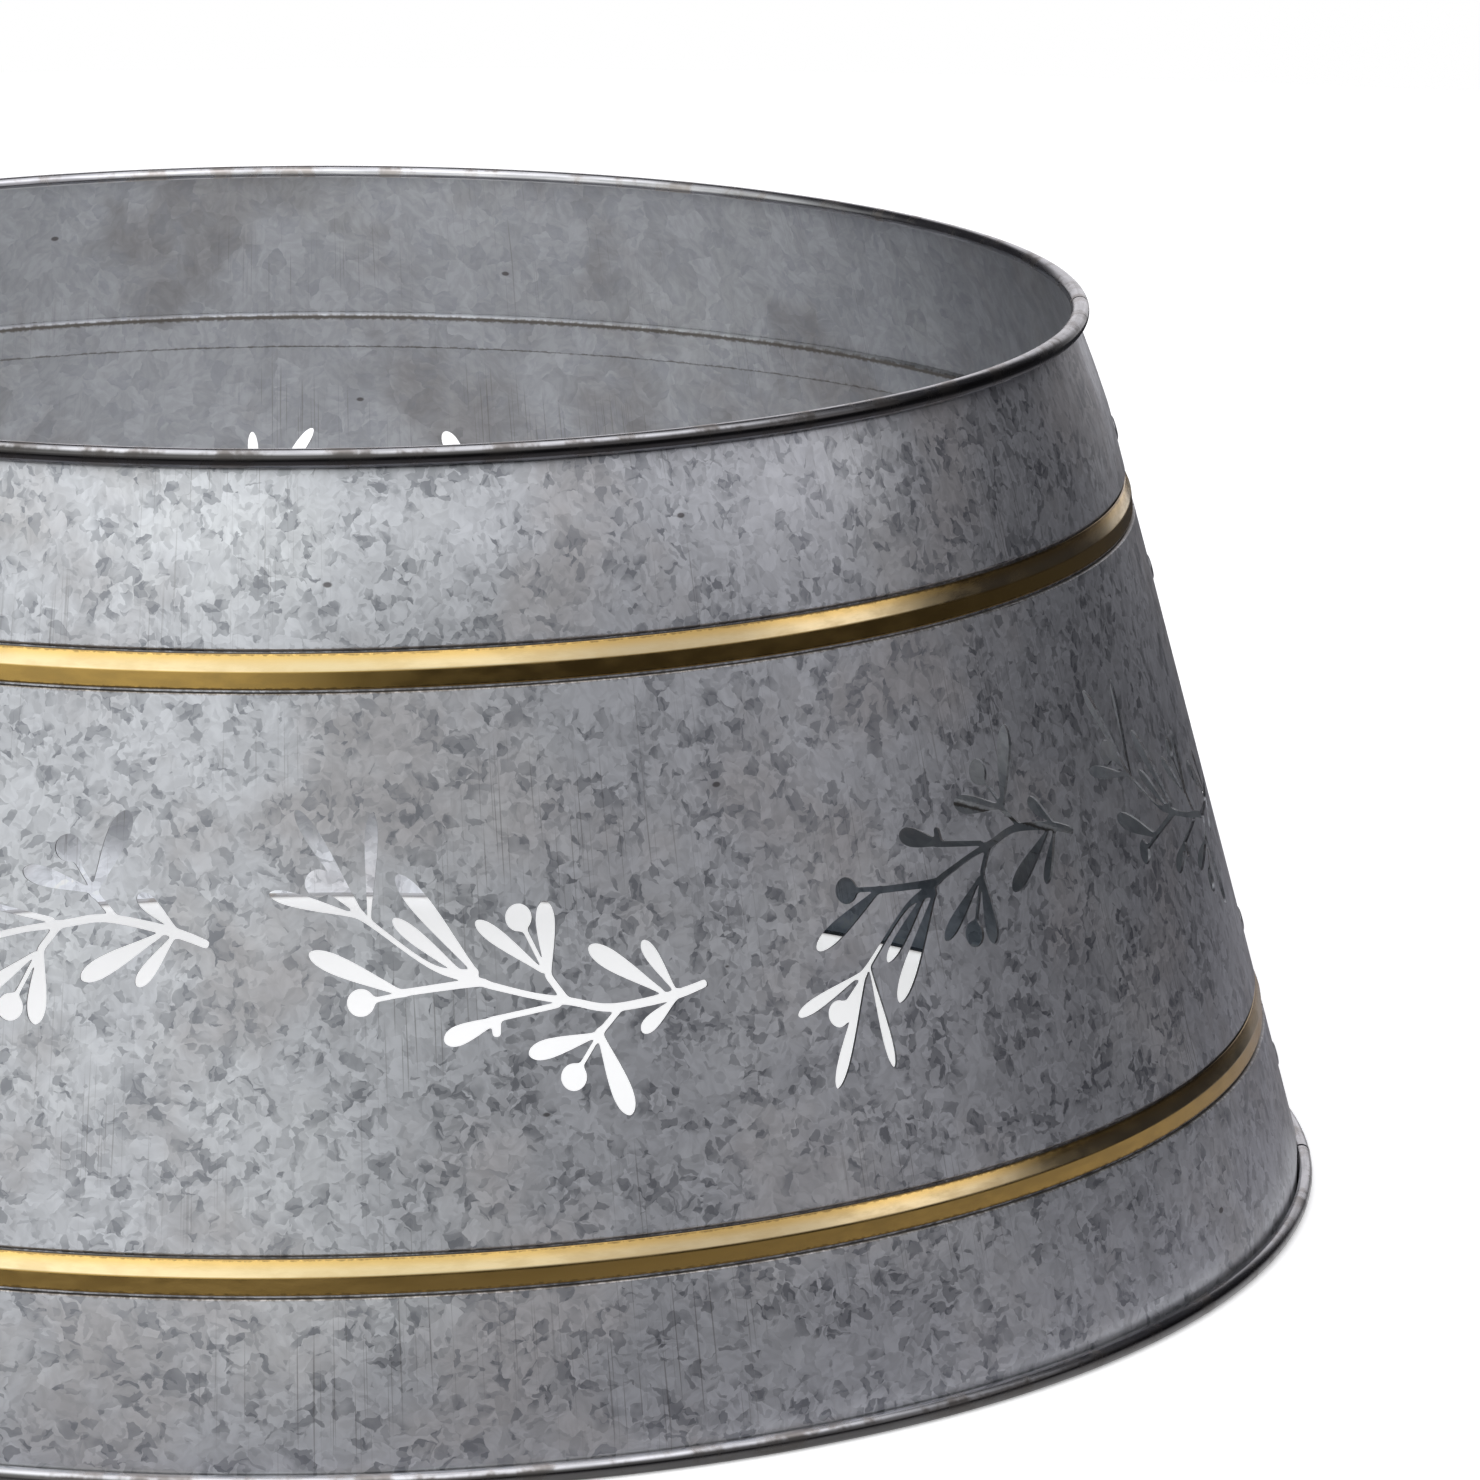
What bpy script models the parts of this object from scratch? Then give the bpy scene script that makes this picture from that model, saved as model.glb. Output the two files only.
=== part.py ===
"""Christmas tree collar: a tapered ring of galvanised sheet in two bolted halves.

Each half panel is drawn as a flat pattern, with the mistletoe sprigs and the screw
holes cut through it, and is then rolled into half of the cone and given its thickness.
Its top and bottom edges are curled outward over rim wires, and two pressed channels
carry gilded bands with a ridge along the middle. At each seam one panel laps behind the
other on four tabs, held by screws from outside and wing nuts inside.

The collar stands on z = 0 with its axis on Z. The seams are at +X and -X, the front
panel faces -Y. Sizes are in metres.
"""

import math

import bmesh
import bpy
from mathutils import Matrix, Vector
from mathutils.geometry import delaunay_2d_cdt

# Overall size, over the rolled rims
BASE_DIAMETER = 0.660
TOP_DIAMETER = 0.505
HEIGHT = 0.2895

# Sheet, rims and necks
SHEET = 0.0008
RIM_RADIUS = 0.0029
WIRE_RADIUS = 0.0015
BOTTOM_RIM_STANDOFF = 0.0005
TOP_RIM_INSET = 0.0006
BOTTOM_NECK = 0.009
TOP_NECK = 0.034
TOP_NECK_BEND = 0.009
TOP_NECK_DRAW = 0.0022

# Gilded bands and the channels they lie in
BAND_HEIGHT = 0.0105
BAND_EDGE = 0.00055
BAND_CROWN = 0.0008
CHANNEL_DEPTH = 0.0012
CHANNEL_SLOPE = 0.0008
LOWER_BAND_RISE = 0.0593
UPPER_BAND_DROP = 0.0613

# Seams: butt gap, lap tabs and fasteners
SEAM_GAP = 0.0015
SEAT_GAP = 0.0003
TAB_LENGTH = 0.026
TAB_HEIGHT = 0.018
TAB_JOG = 0.0008
SCREW_SETBACK = 0.015
SCREW_DIAMETER = 0.004
SCREW_LENGTH = 0.0095
SCREW_HEAD_DIAMETER = 0.0085
SCREW_HEAD_HEIGHT = 0.0021
NUT_DIAMETER = 0.0085
NUT_HEIGHT = 0.0040
WING_SPAN = 0.021
WING_ROOT_RISE = 0.0040
WING_TIP_RISE = 0.0050
WING_TIP_WIDTH = 0.0014

# Mistletoe sprigs
SPRIG_LENGTH = 0.132
SPRIG_MIDDLE_SHARE = 0.494
PAIRS_PER_PANEL = 3
FIRST_SPRIG_ANGLE = math.radians(-15.3)
FLIPPED_SPRIG_LAG = math.radians(29.3)
FLIPPED_SPRIG_RISE = 0.0038
FLIPPED_SPRIG_TILT = math.radians(-0.5)

# Fineness of the curves, and how close two points are one
WELD_DISTANCE = 0.000001
COLUMNS = 22
CURL_STEPS = 5
CURL_STEP = math.radians(56)
WIRE_SIDES = 6
BERRY_SIDES = 8
SCREW_SIDES = 8

# Leaves as shares of the sprig's length: base x, base y, tip x, tip y, greatest width
LEAF_SHARES = (
    (0.382, -0.075, 0.210, 0.039, 0.045),
    (0.410, -0.074, 0.336, 0.045, 0.034),
    (0.410, -0.088, 0.322, -0.158, 0.036),
    (0.223, -0.155, 0.060, -0.189, 0.044),
    (0.221, -0.141, 0.288, -0.338, 0.050),
    (0.108, -0.013, -0.041, 0.110, 0.036),
    (0.117, -0.031, 0.117, 0.146, 0.045),
    (0.005, -0.105, -0.125, -0.149, 0.045),
    (-0.042, -0.007, -0.208, 0.221, 0.045),
    (-0.065, -0.015, -0.222, 0.126, 0.033),
    (-0.294, 0.134, -0.487, 0.197, 0.031),
    (-0.289, 0.143, -0.418, 0.376, 0.034),
    (-0.272, 0.122, -0.251, 0.361, 0.029),
    (-0.198, -0.044, -0.408, 0.062, 0.043),
    (-0.212, -0.051, -0.327, -0.147, 0.044),
)

# Half the leaf's outline, from base to tip: share of its length, share of its width
LEAF_OUTLINE_SHARES = ((0.0, 0.14), (0.62, 0.50), (0.98, 0.21))

# Berries: centre x, centre y, stalk end x, stalk end y, as shares of the length
BERRY_SHARES = (
    (0.161, -0.245, 0.223, -0.159),
    (0.057, 0.111, 0.109, -0.006),
    (-0.376, 0.212, -0.279, 0.134),
    (-0.300, -0.053, -0.206, -0.040),
)
BERRY_RADIUS_SHARE = 0.031
STALK_WIDTH_SHARE = 0.011

# Stems: runs of centre-line points with the stem's width there, as shares
STEM_SHARES = (
    ((0.487, -0.058, 0.018), (0.400, -0.082, 0.021), (0.259, -0.099, 0.018),
     (0.167, -0.080, 0.017), (0.078, -0.061, 0.014), (-0.015, -0.033, 0.016),
     (-0.047, -0.025, 0.018), (-0.220, -0.038, 0.015)),
    ((-0.040, -0.013, 0.034), (-0.140, 0.015, 0.012), (-0.271, 0.120, 0.013),
     (-0.308, 0.148, 0.022)),
    ((0.274, -0.104, 0.015), (0.215, -0.163, 0.016)),
    ((0.157, -0.082, 0.018), (0.112, -0.014, 0.015)),
    ((0.142, -0.084, 0.013), (-0.023, -0.109, 0.014)),
    ((-0.006, -0.111, 0.022), (-0.007, -0.146, 0.020)),
)

# Screws of the lower, middle and upper plain zone: shares of the zone's height
SCREW_PLACE_SHARES = ((0.5,), (0.08, 0.85), (0.5,))

# Screw below its head: share of the shank's radius, share of the length
SHANK_SHARES = ((0.0, 1.0), (0.8, 1.0), (1.0, 0.92), (1.0, 0.0))

# Screw head: share of the head's radius, share of its height
HEAD_SHARES = ((1.0, 0.0), (0.95, 0.5), (0.6, 1.0), (0.0, 1.0))
NUT_CROWN_SHARE = 0.85

# Colours, roughness and metallic value
GALVANISED = ((0.50, 0.52, 0.55), 0.42, 0.9)
GILT = ((0.78, 0.55, 0.22), 0.28, 1.0)
WIRE_STEEL = ((0.42, 0.43, 0.45), 0.50, 1.0)
PLATED_STEEL = ((0.66, 0.67, 0.68), 0.30, 1.0)

# Places that follow from the sizes above
CURL_RADIUS = RIM_RADIUS - SHEET / 2
FOOT_APOTHEM = CURL_RADIUS * math.cos(CURL_STEP / 2) + SHEET / 2
WALL_BASE_RADIUS = BASE_DIAMETER / 2 - RIM_RADIUS - BOTTOM_RIM_STANDOFF
WALL_TOP_RADIUS = TOP_DIAMETER / 2 - RIM_RADIUS + TOP_RIM_INSET
WALL_RISE = HEIGHT - RIM_RADIUS - FOOT_APOTHEM
TAPER = math.atan2(WALL_BASE_RADIUS - WALL_TOP_RADIUS, WALL_RISE)
SLANT = math.hypot(WALL_BASE_RADIUS - WALL_TOP_RADIUS, WALL_RISE)
WALL_BASE_HEIGHT = FOOT_APOTHEM - BOTTOM_RIM_STANDOFF * math.sin(TAPER)
LOWER_BAND_PLACE = LOWER_BAND_RISE
UPPER_BAND_PLACE = SLANT - UPPER_BAND_DROP
CHANNEL_FLOOR = BAND_HEIGHT / 2 + SEAT_GAP + SHEET / 2
CHANNEL_EDGE = CHANNEL_FLOOR + CHANNEL_SLOPE
SPRIG_PLACE = SLANT * SPRIG_MIDDLE_SHARE
PATTERN_RADIUS = WALL_BASE_RADIUS - SPRIG_PLACE * math.sin(TAPER)
APEX_REACH = PATTERN_RADIUS / math.sin(TAPER)
PAIR_PITCH = math.pi / PAIRS_PER_PANEL
LAP_DEPTH = SHEET + SEAT_GAP
SEAM_ANGLE = SEAM_GAP / PATTERN_RADIUS
PANEL_START = -math.pi + SEAM_ANGLE / 2
PANEL_END = -SEAM_ANGLE / 2
FACET_ANGLE = (PANEL_END - PANEL_START) / COLUMNS
SCREW_ANGLE = PANEL_END + SCREW_SETBACK / PATTERN_RADIUS
HOLE_RADIUS = (SCREW_DIAMETER / 2 + SEAT_GAP) / math.cos(math.pi / SCREW_SIDES)


def angle_from_facet_middle(angle):
    """How far an angle lies from the middle of its flat facet; the seams have none."""
    facet, within = divmod((angle - PANEL_START) % math.pi, FACET_ANGLE)
    if facet >= COLUMNS:
        return FACET_ANGLE / 2
    return within - FACET_ANGLE / 2


def wall_point(along, out, angle):
    """The point at a distance up the faceted wall and outward from it, at an angle."""
    radius = WALL_BASE_RADIUS - along * math.sin(TAPER) + out * math.cos(TAPER)
    height = WALL_BASE_HEIGHT + along * math.cos(TAPER) + out * math.sin(TAPER)
    radius *= math.cos(FACET_ANGLE / 2) / math.cos(angle_from_facet_middle(angle))
    return Vector((radius * math.cos(angle), radius * math.sin(angle), height))


def column_angles():
    """The angles of the panel's columns, from its left end to its right end."""
    return [PANEL_START + FACET_ANGLE * step for step in range(COLUMNS + 1)]


def material(name, finish):
    """A Principled material of one colour, roughness and metallic value."""
    colour, roughness, metallic = finish
    made = bpy.data.materials.new(name)
    made.use_nodes = True
    shader = made.node_tree.nodes["Principled BSDF"]
    shader.inputs["Base Color"].default_value = (*colour, 1.0)
    shader.inputs["Roughness"].default_value = roughness
    shader.inputs["Metallic"].default_value = metallic
    made.diffuse_color = (*colour, 1.0)
    return made


def mesh_from(name, shape, finish):
    """Turn a bmesh into a smooth-shaded mesh with its own material."""
    bmesh.ops.recalc_face_normals(shape, faces=shape.faces)
    made = bpy.data.meshes.new(name)
    shape.to_mesh(made)
    shape.free()
    made.materials.append(material(name, finish))
    made.shade_smooth()
    made.set_sharp_from_angle(angle=math.radians(35))
    return made


def place(name, mesh, matrix=Matrix.Identity(4)):
    """Put one named object in the scene."""
    piece = bpy.data.objects.new(name, mesh)
    piece.matrix_world = matrix
    bpy.context.scene.collection.objects.link(piece)
    return piece


def curl_points(place_along, centre_out, rise, first_angle):
    """Mid-surface points of a rolled rim, from the wall to its free edge."""
    points = []
    for step in range(CURL_STEPS + 1):
        angle = first_angle + step * CURL_STEP
        along = place_along + rise * CURL_RADIUS * math.sin(angle)
        points.append((along, centre_out - CURL_RADIUS * math.cos(angle)))
    return points


def channel_points(place_along):
    """Mid-surface points of a pressed channel, from its lower to its upper edge."""
    return [
        (place_along - CHANNEL_EDGE, 0.0),
        (place_along - CHANNEL_FLOOR, -CHANNEL_DEPTH),
        (place_along + CHANNEL_FLOOR, -CHANNEL_DEPTH),
        (place_along + CHANNEL_EDGE, 0.0),
    ]


def section_runs():
    """The formed stretches of the section, each a run of points up the wall.

    Between two runs lies a plain zone of the wall. The bottom curl is turned so
    that its lowest facet lies flat on the ground.
    """
    foot_angle = math.pi / 2 - TAPER - 1.5 * CURL_STEP
    bottom = curl_points(0.0, BOTTOM_RIM_STANDOFF, -1, foot_angle)
    top = curl_points(SLANT, -TOP_RIM_INSET, 1, 0.0)
    return [
        bottom[::-1] + [(BOTTOM_NECK, 0.0)],
        channel_points(LOWER_BAND_PLACE),
        channel_points(UPPER_BAND_PLACE),
        [(SLANT - TOP_NECK, 0.0), (SLANT - TOP_NECK_BEND, -TOP_NECK_DRAW)] + top,
    ]


def leaf_outline(base_x, base_y, tip_x, tip_y, width):
    """A leaf's outline, slim at its base and fullest past the middle."""
    base = Vector((base_x, base_y)) * SPRIG_LENGTH
    axis = Vector((tip_x, tip_y)) * SPRIG_LENGTH - base
    side = Vector((-axis.y, axis.x)).normalized() * width * SPRIG_LENGTH
    right = [base + axis * run - side * half for run, half in LEAF_OUTLINE_SHARES]
    left = [base + axis * run + side * half for run, half in LEAF_OUTLINE_SHARES]
    return right + left[::-1]


def stem_outline(run):
    """A stem through points that each carry a width, mitred where it bends."""
    points = [Vector((x, y)) * SPRIG_LENGTH for x, y, _ in run]
    right = []
    left = []
    for index, (point, (_, _, width)) in enumerate(zip(points, run)):
        before = point - points[max(index - 1, 0)]
        after = points[min(index + 1, len(points) - 1)] - point
        way = before.normalized() + after.normalized()
        side = Vector((-way.y, way.x)).normalized() * width * SPRIG_LENGTH / 2
        right.append(point - side)
        left.append(point + side)
    return right + left[::-1]


def circle_outline(centre, radius, sides):
    """A regular polygon, anticlockwise."""
    turns = [math.tau * (step + 0.5) / sides for step in range(sides)]
    return [centre + Vector((math.cos(turn), math.sin(turn))) * radius for turn in turns]


def sprig_outlines():
    """The overlapping outlines whose union is one sprig, about its middle."""
    outlines = [leaf_outline(*leaf) for leaf in LEAF_SHARES]
    for berry_x, berry_y, stalk_x, stalk_y in BERRY_SHARES:
        centre = Vector((berry_x, berry_y)) * SPRIG_LENGTH
        outlines.append(circle_outline(centre, BERRY_RADIUS_SHARE * SPRIG_LENGTH, BERRY_SIDES))
        outlines.append(stem_outline(((stalk_x, stalk_y, STALK_WIDTH_SHARE),
                                      (berry_x, berry_y, STALK_WIDTH_SHARE))))
    outlines += [stem_outline(run) for run in STEM_SHARES]
    return outlines


def laid_on_pattern(angle, point):
    """Where a point of a drawing made on the flat sheet lies on the pattern.

    A cone's sheet is a sector of a ring, so the drawing bends a little with it.
    """
    reach = math.hypot(point.x, APEX_REACH - point.y)
    swing = math.atan2(point.x, APEX_REACH - point.y) / math.sin(TAPER)
    return Vector(((angle + swing) * PATTERN_RADIUS, SPRIG_PLACE + APEX_REACH - reach))


def placed_sprigs():
    """Every sprig outline of a panel, upright and flipped in turn."""
    tilt = Matrix.Rotation(FLIPPED_SPRIG_TILT, 2)
    rise = Vector((0.0, FLIPPED_SPRIG_RISE))
    placed = []
    for pair in range(PAIRS_PER_PANEL):
        angle = FIRST_SPRIG_ANGLE - pair * PAIR_PITCH
        flipped_angle = angle - FLIPPED_SPRIG_LAG
        for outline in sprig_outlines():
            flipped = [tilt @ Vector((point.x, -point.y)) + rise for point in outline[::-1]]
            placed.append([laid_on_pattern(angle, point) for point in outline])
            placed.append([laid_on_pattern(flipped_angle, point) for point in flipped])
    return placed


def plain_zones():
    """The wall's three plain zones: the lower and upper limit, and the screws' places."""
    runs = section_runs()
    zones = []
    for lower, upper, shares in zip(runs, runs[1:], SCREW_PLACE_SHARES):
        low = lower[-1][0]
        high = upper[0][0]
        zones.append((low, high, [low + (high - low) * share for share in shares]))
    return zones


def zone_faces(low, high, screws, cuts):
    """Cut one plain zone of the flat pattern, with its lap tabs, into triangles."""
    columns = [angle * PATTERN_RADIUS for angle in column_angles()]
    zone = [Vector((x, low)) for x in columns] + [Vector((x, high)) for x in columns[::-1]]
    end = columns[-1]
    jog = end + TAB_JOG
    tip = end + TAB_LENGTH
    sheet = [zone]
    holes = []
    for along in screws:
        tab_low = along - TAB_HEIGHT / 2
        tab_high = along + TAB_HEIGHT / 2
        for start, stop in ((end, jog), (jog, tip)):
            sheet.append([Vector((start, tab_low)), Vector((stop, tab_low)),
                          Vector((stop, tab_high)), Vector((start, tab_high))])
        tab_hole = Vector((end + SCREW_SETBACK, along))
        wall_hole = tab_hole - Vector((math.pi * PATTERN_RADIUS, 0.0))
        for centre in (tab_hole, wall_hole):
            holes.append(circle_outline(centre, HOLE_RADIUS, SCREW_SIDES))

    points = []
    outlines = []
    for outline in sheet + holes + cuts:
        outlines.append(list(range(len(points), len(points) + len(outline))))
        points += outline
    creases = [(column, 2 * COLUMNS + 1 - column) for column in range(1, COLUMNS)
               if column == 1 or not cuts]
    made, _, faces, drawn, _, sources = delaunay_2d_cdt(points, creases, outlines, 1,
                                                        WELD_DISTANCE)
    exact = [points[given[0]] if given else point for point, given in zip(made, drawn)]
    return [[exact[corner] for corner in face] for face, source in zip(faces, sources)
            if source and max(source) < len(sheet)]


def lap_out(x):
    """How far the wall's mid-surface lies inward at a place along the pattern."""
    jog_start = PANEL_END * PATTERN_RADIUS
    share = (x - jog_start) / TAB_JOG
    return -LAP_DEPTH * min(max(share, 0.0), 1.0)


def drop_waste(shape):
    """Delete the scraps of sheet that a cut-out surrounds, which would fall away."""
    shape.verts.ensure_lookup_table()
    held = set()
    waiting = [shape.verts[0]]
    while waiting:
        vertex = waiting.pop()
        if vertex not in held:
            held.add(vertex)
            waiting += [edge.other_vert(vertex) for edge in vertex.link_edges]
    loose = [vertex for vertex in shape.verts if vertex not in held]
    bmesh.ops.delete(shape, geom=loose, context="VERTS")


def panel_mesh():
    """Roll the flat pattern of one half panel into its half of the cone."""
    shape = bmesh.new()
    corners = {}

    def corner(x, along, out):
        key = tuple(round(place / WELD_DISTANCE) for place in (x, along, out))
        if key not in corners:
            corners[key] = shape.verts.new(wall_point(along, out, x / PATTERN_RADIUS))
        return corners[key]

    columns = [angle * PATTERN_RADIUS for angle in column_angles()]
    for run in section_runs():
        for (along, out), (next_along, next_out) in zip(run, run[1:]):
            for x, next_x in zip(columns, columns[1:]):
                shape.faces.new([
                    corner(x, along, out),
                    corner(next_x, along, out),
                    corner(next_x, next_along, next_out),
                    corner(x, next_along, next_out),
                ])

    sprigs = placed_sprigs()
    for low, high, screws in plain_zones():
        cuts = sprigs if low < SPRIG_PLACE < high else []
        for face in zone_faces(low, high, screws, cuts):
            ring = []
            for point in face:
                vertex = corner(point.x, point.y, lap_out(point.x))
                if vertex not in ring:
                    ring.append(vertex)
            if len(ring) > 2:
                shape.faces.new(ring)
    drop_waste(shape)
    return mesh_from("panel", shape, GALVANISED)


def build_panels():
    """The front panel and, turned half round, the rear one."""
    mesh = panel_mesh()
    for name, turn in (("front_panel", 0.0), ("rear_panel", math.pi)):
        own = mesh.copy()
        own.materials.clear()
        own.materials.append(material(name, GALVANISED))
        panel = place(name, own, Matrix.Rotation(turn, 4, "Z"))
        thickness = panel.modifiers.new("sheet", "SOLIDIFY")
        thickness.thickness = SHEET
        thickness.offset = 0.0
        thickness.use_even_offset = True
    bpy.data.meshes.remove(mesh)


def swept_mesh(name, section, finish):
    """Sweep a closed section of (along, out) points round one half of the collar."""
    shape = bmesh.new()
    rings = []
    for angle in column_angles():
        rings.append([shape.verts.new(wall_point(*point, angle)) for point in section])
    for ring, following in zip(rings, rings[1:]):
        for index in range(len(section)):
            after = (index + 1) % len(section)
            shape.faces.new([ring[index], following[index], following[after], ring[after]])
    shape.faces.new(rings[0])
    shape.faces.new(rings[-1])
    return mesh_from(name, shape, finish)


def band_section(place_along):
    """A flat-backed strip whose two flat faces meet in a ridge, seated in its channel."""
    back = -CHANNEL_DEPTH + SHEET / 2 + SEAT_GAP
    half = BAND_HEIGHT / 2
    return [
        (place_along - half, back),
        (place_along - half, back + BAND_EDGE),
        (place_along, back + BAND_EDGE + BAND_CROWN),
        (place_along + half, back + BAND_EDGE),
        (place_along + half, back),
    ]


def wire_section(place_along, centre_out):
    """The round rim wire, at the middle of its rolled rim."""
    turns = [math.tau * side / WIRE_SIDES for side in range(WIRE_SIDES)]
    return [(place_along + WIRE_RADIUS * math.sin(turn), centre_out + WIRE_RADIUS * math.cos(turn))
            for turn in turns]


def build_bands_and_wires():
    """The gilded bands and the rim wires, each in a front and a rear half."""
    swept = (
        ("lower_band", band_section(LOWER_BAND_PLACE), GILT),
        ("upper_band", band_section(UPPER_BAND_PLACE), GILT),
        ("bottom_rim_wire", wire_section(0.0, BOTTOM_RIM_STANDOFF), WIRE_STEEL),
        ("top_rim_wire", wire_section(SLANT, -TOP_RIM_INSET), WIRE_STEEL),
    )
    for name, section, finish in swept:
        for half, turn in (("front", 0.0), ("rear", math.pi)):
            full_name = f"{half}_{name}"
            mesh = swept_mesh(full_name, section, finish)
            place(full_name, mesh, Matrix.Rotation(turn, 4, "Z"))


def turned_mesh(name, profile, sides, finish):
    """Turn a profile of (radius, height) points, first and last on the axis, about Z."""
    shape = bmesh.new()
    rings = []
    for radius, height in profile:
        if radius == 0:
            rings.append([shape.verts.new((0.0, 0.0, height))] * sides)
            continue
        turns = [math.tau * (side + 0.5) / sides for side in range(sides)]
        rings.append([shape.verts.new((radius * math.cos(turn), radius * math.sin(turn), height))
                      for turn in turns])
    for lower, upper in zip(rings, rings[1:]):
        for side in range(sides):
            after = (side + 1) % sides
            ring = []
            for vertex in (lower[side], lower[after], upper[after], upper[side]):
                if vertex not in ring:
                    ring.append(vertex)
            shape.faces.new(ring)
    return mesh_from(name, shape, finish)


def screw_mesh(name):
    """A pan-headed screw whose head seats at z = 0, with its shank below."""
    shank = [(radius * SCREW_DIAMETER / 2, -depth * SCREW_LENGTH)
             for radius, depth in SHANK_SHARES]
    head = [(radius * SCREW_HEAD_DIAMETER / 2, height * SCREW_HEAD_HEIGHT)
            for radius, height in HEAD_SHARES]
    return turned_mesh(name, shank + head, SCREW_SIDES, PLATED_STEEL)


def wing_nut_mesh(name):
    """A wing nut that seats at z = 0, with its wings raised on the side away from it."""
    shape = bmesh.new()
    turns = [math.tau * (side + 0.5) / SCREW_SIDES for side in range(SCREW_SIDES)]
    body = NUT_DIAMETER / 2
    rings = []
    for radius, height in ((body, 0.0), (body * NUT_CROWN_SHARE, -NUT_HEIGHT),
                           (HOLE_RADIUS, -NUT_HEIGHT), (HOLE_RADIUS, 0.0)):
        rings.append([shape.verts.new((radius * math.cos(turn), radius * math.sin(turn), height))
                      for turn in turns])
    sides = []
    for ring, following in zip(rings, rings[1:] + rings[:1]):
        for side in range(SCREW_SIDES):
            after = (side + 1) % SCREW_SIDES
            sides.append(shape.faces.new(
                [ring[side], ring[after], following[after], following[side]]))
    wing_sides = ((-1, sides[SCREW_SIDES // 2 - 1]), (1, sides[SCREW_SIDES - 1]))
    for direction, face in wing_sides:
        corners = bmesh.ops.extrude_face_region(shape, geom=[face])["geom"]
        shape.faces.remove(face)
        for vertex in (item for item in corners if isinstance(item, bmesh.types.BMVert)):
            vertex.co.x = direction * WING_SPAN / 2
            vertex.co.y = math.copysign(WING_TIP_WIDTH / 2, vertex.co.y)
            vertex.co.z -= WING_ROOT_RISE if vertex.co.z > -NUT_HEIGHT / 2 else WING_TIP_RISE
    return mesh_from(name, shape, PLATED_STEEL)


def fastener_matrix(along, out, angle):
    """A frame on the wall whose Z axis points straight out of its facet."""
    middle = angle - angle_from_facet_middle(angle)
    outward = Vector((math.cos(TAPER) * math.cos(middle), math.cos(TAPER) * math.sin(middle),
                      math.sin(TAPER)))
    turned = outward.to_track_quat("Z", "Y").to_matrix().to_4x4()
    return Matrix.Translation(wall_point(along, 0.0, angle) + outward * out) @ turned


def build_fasteners():
    """Screws and wing nuts up both seams, numbered from the bottom."""
    places = [along for _, _, screws in plain_zones() for along in screws]
    head_seat = SHEET / 2 + SEAT_GAP
    nut_seat = -LAP_DEPTH - SHEET / 2 - SEAT_GAP
    for seam, turn in (("right", 0.0), ("left", math.pi)):
        for number, along in enumerate(places, start=1):
            screw = f"{seam}_seam_screw_{number}"
            nut = f"{seam}_seam_wing_nut_{number}"
            angle = SCREW_ANGLE + turn
            place(screw, screw_mesh(screw), fastener_matrix(along, head_seat, angle))
            place(nut, wing_nut_mesh(nut), fastener_matrix(along, nut_seat, angle))


def build_collar():
    """Clear the scene and build the whole collar."""
    for leftover in list(bpy.data.objects):
        bpy.data.objects.remove(leftover)
    build_panels()
    build_bands_and_wires()
    build_fasteners()


build_collar()
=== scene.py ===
"""Christmas tree collar, dressed: zinc sheet, gilt bands, rolled rims and fasteners.

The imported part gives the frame. Each sheet piece and strip is drawn flat, as a tinsmith
lays it out, and Geometry Nodes roll it round the collar's cone. Sizes are in metres.
"""

import math

import bmesh
import bpy
from bpy.props import FloatProperty, FloatVectorProperty, PointerProperty
from bpy.types import Operator, Panel, PropertyGroup
from mathutils import Matrix, Vector
from mathutils.geometry import delaunay_2d_cdt


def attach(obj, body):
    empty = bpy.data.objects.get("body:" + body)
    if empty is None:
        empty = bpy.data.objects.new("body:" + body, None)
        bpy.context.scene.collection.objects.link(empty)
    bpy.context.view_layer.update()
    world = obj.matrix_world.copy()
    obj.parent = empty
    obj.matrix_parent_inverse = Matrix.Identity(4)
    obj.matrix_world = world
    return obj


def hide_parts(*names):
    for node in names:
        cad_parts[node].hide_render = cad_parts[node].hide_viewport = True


bl_info = {
    "name": "Christmas Tree Collar",
    "version": (1, 0, 0),
    "blender": (4, 5, 0),
    "location": "3D View > Sidebar > Tree Collar",
    "description": "Dresses the packed christmas tree collar in zinc, gilt and steel",
    "category": "Object",
}

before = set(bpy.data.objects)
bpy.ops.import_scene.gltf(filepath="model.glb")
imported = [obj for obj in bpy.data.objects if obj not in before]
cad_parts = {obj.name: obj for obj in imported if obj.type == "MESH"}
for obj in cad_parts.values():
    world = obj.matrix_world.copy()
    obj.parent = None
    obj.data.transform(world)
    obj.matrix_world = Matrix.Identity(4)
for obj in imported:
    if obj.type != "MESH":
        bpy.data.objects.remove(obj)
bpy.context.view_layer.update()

BODY = "root"
HALVES = ("front", "rear")
SEAMS = ("right", "left")
SCREWS_PER_SEAM = 4

# Rims and necks
BOTTOM_RIM_STANDOFF = 0.0005
TOP_RIM_INSET = 0.0006
WIRE_RADIUS = 0.0015
BOTTOM_NECK = 0.009
TOP_NECK = 0.034
TOP_NECK_BEND = 0.009
TOP_NECK_DRAW = 0.0022
NECK_MIDDLE_SHARE = 0.5
NECK_END_SHARE = 0.45
NECK_DRAW_SHARE = 0.42
FOOT_APOTHEM = 0.002607

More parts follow.
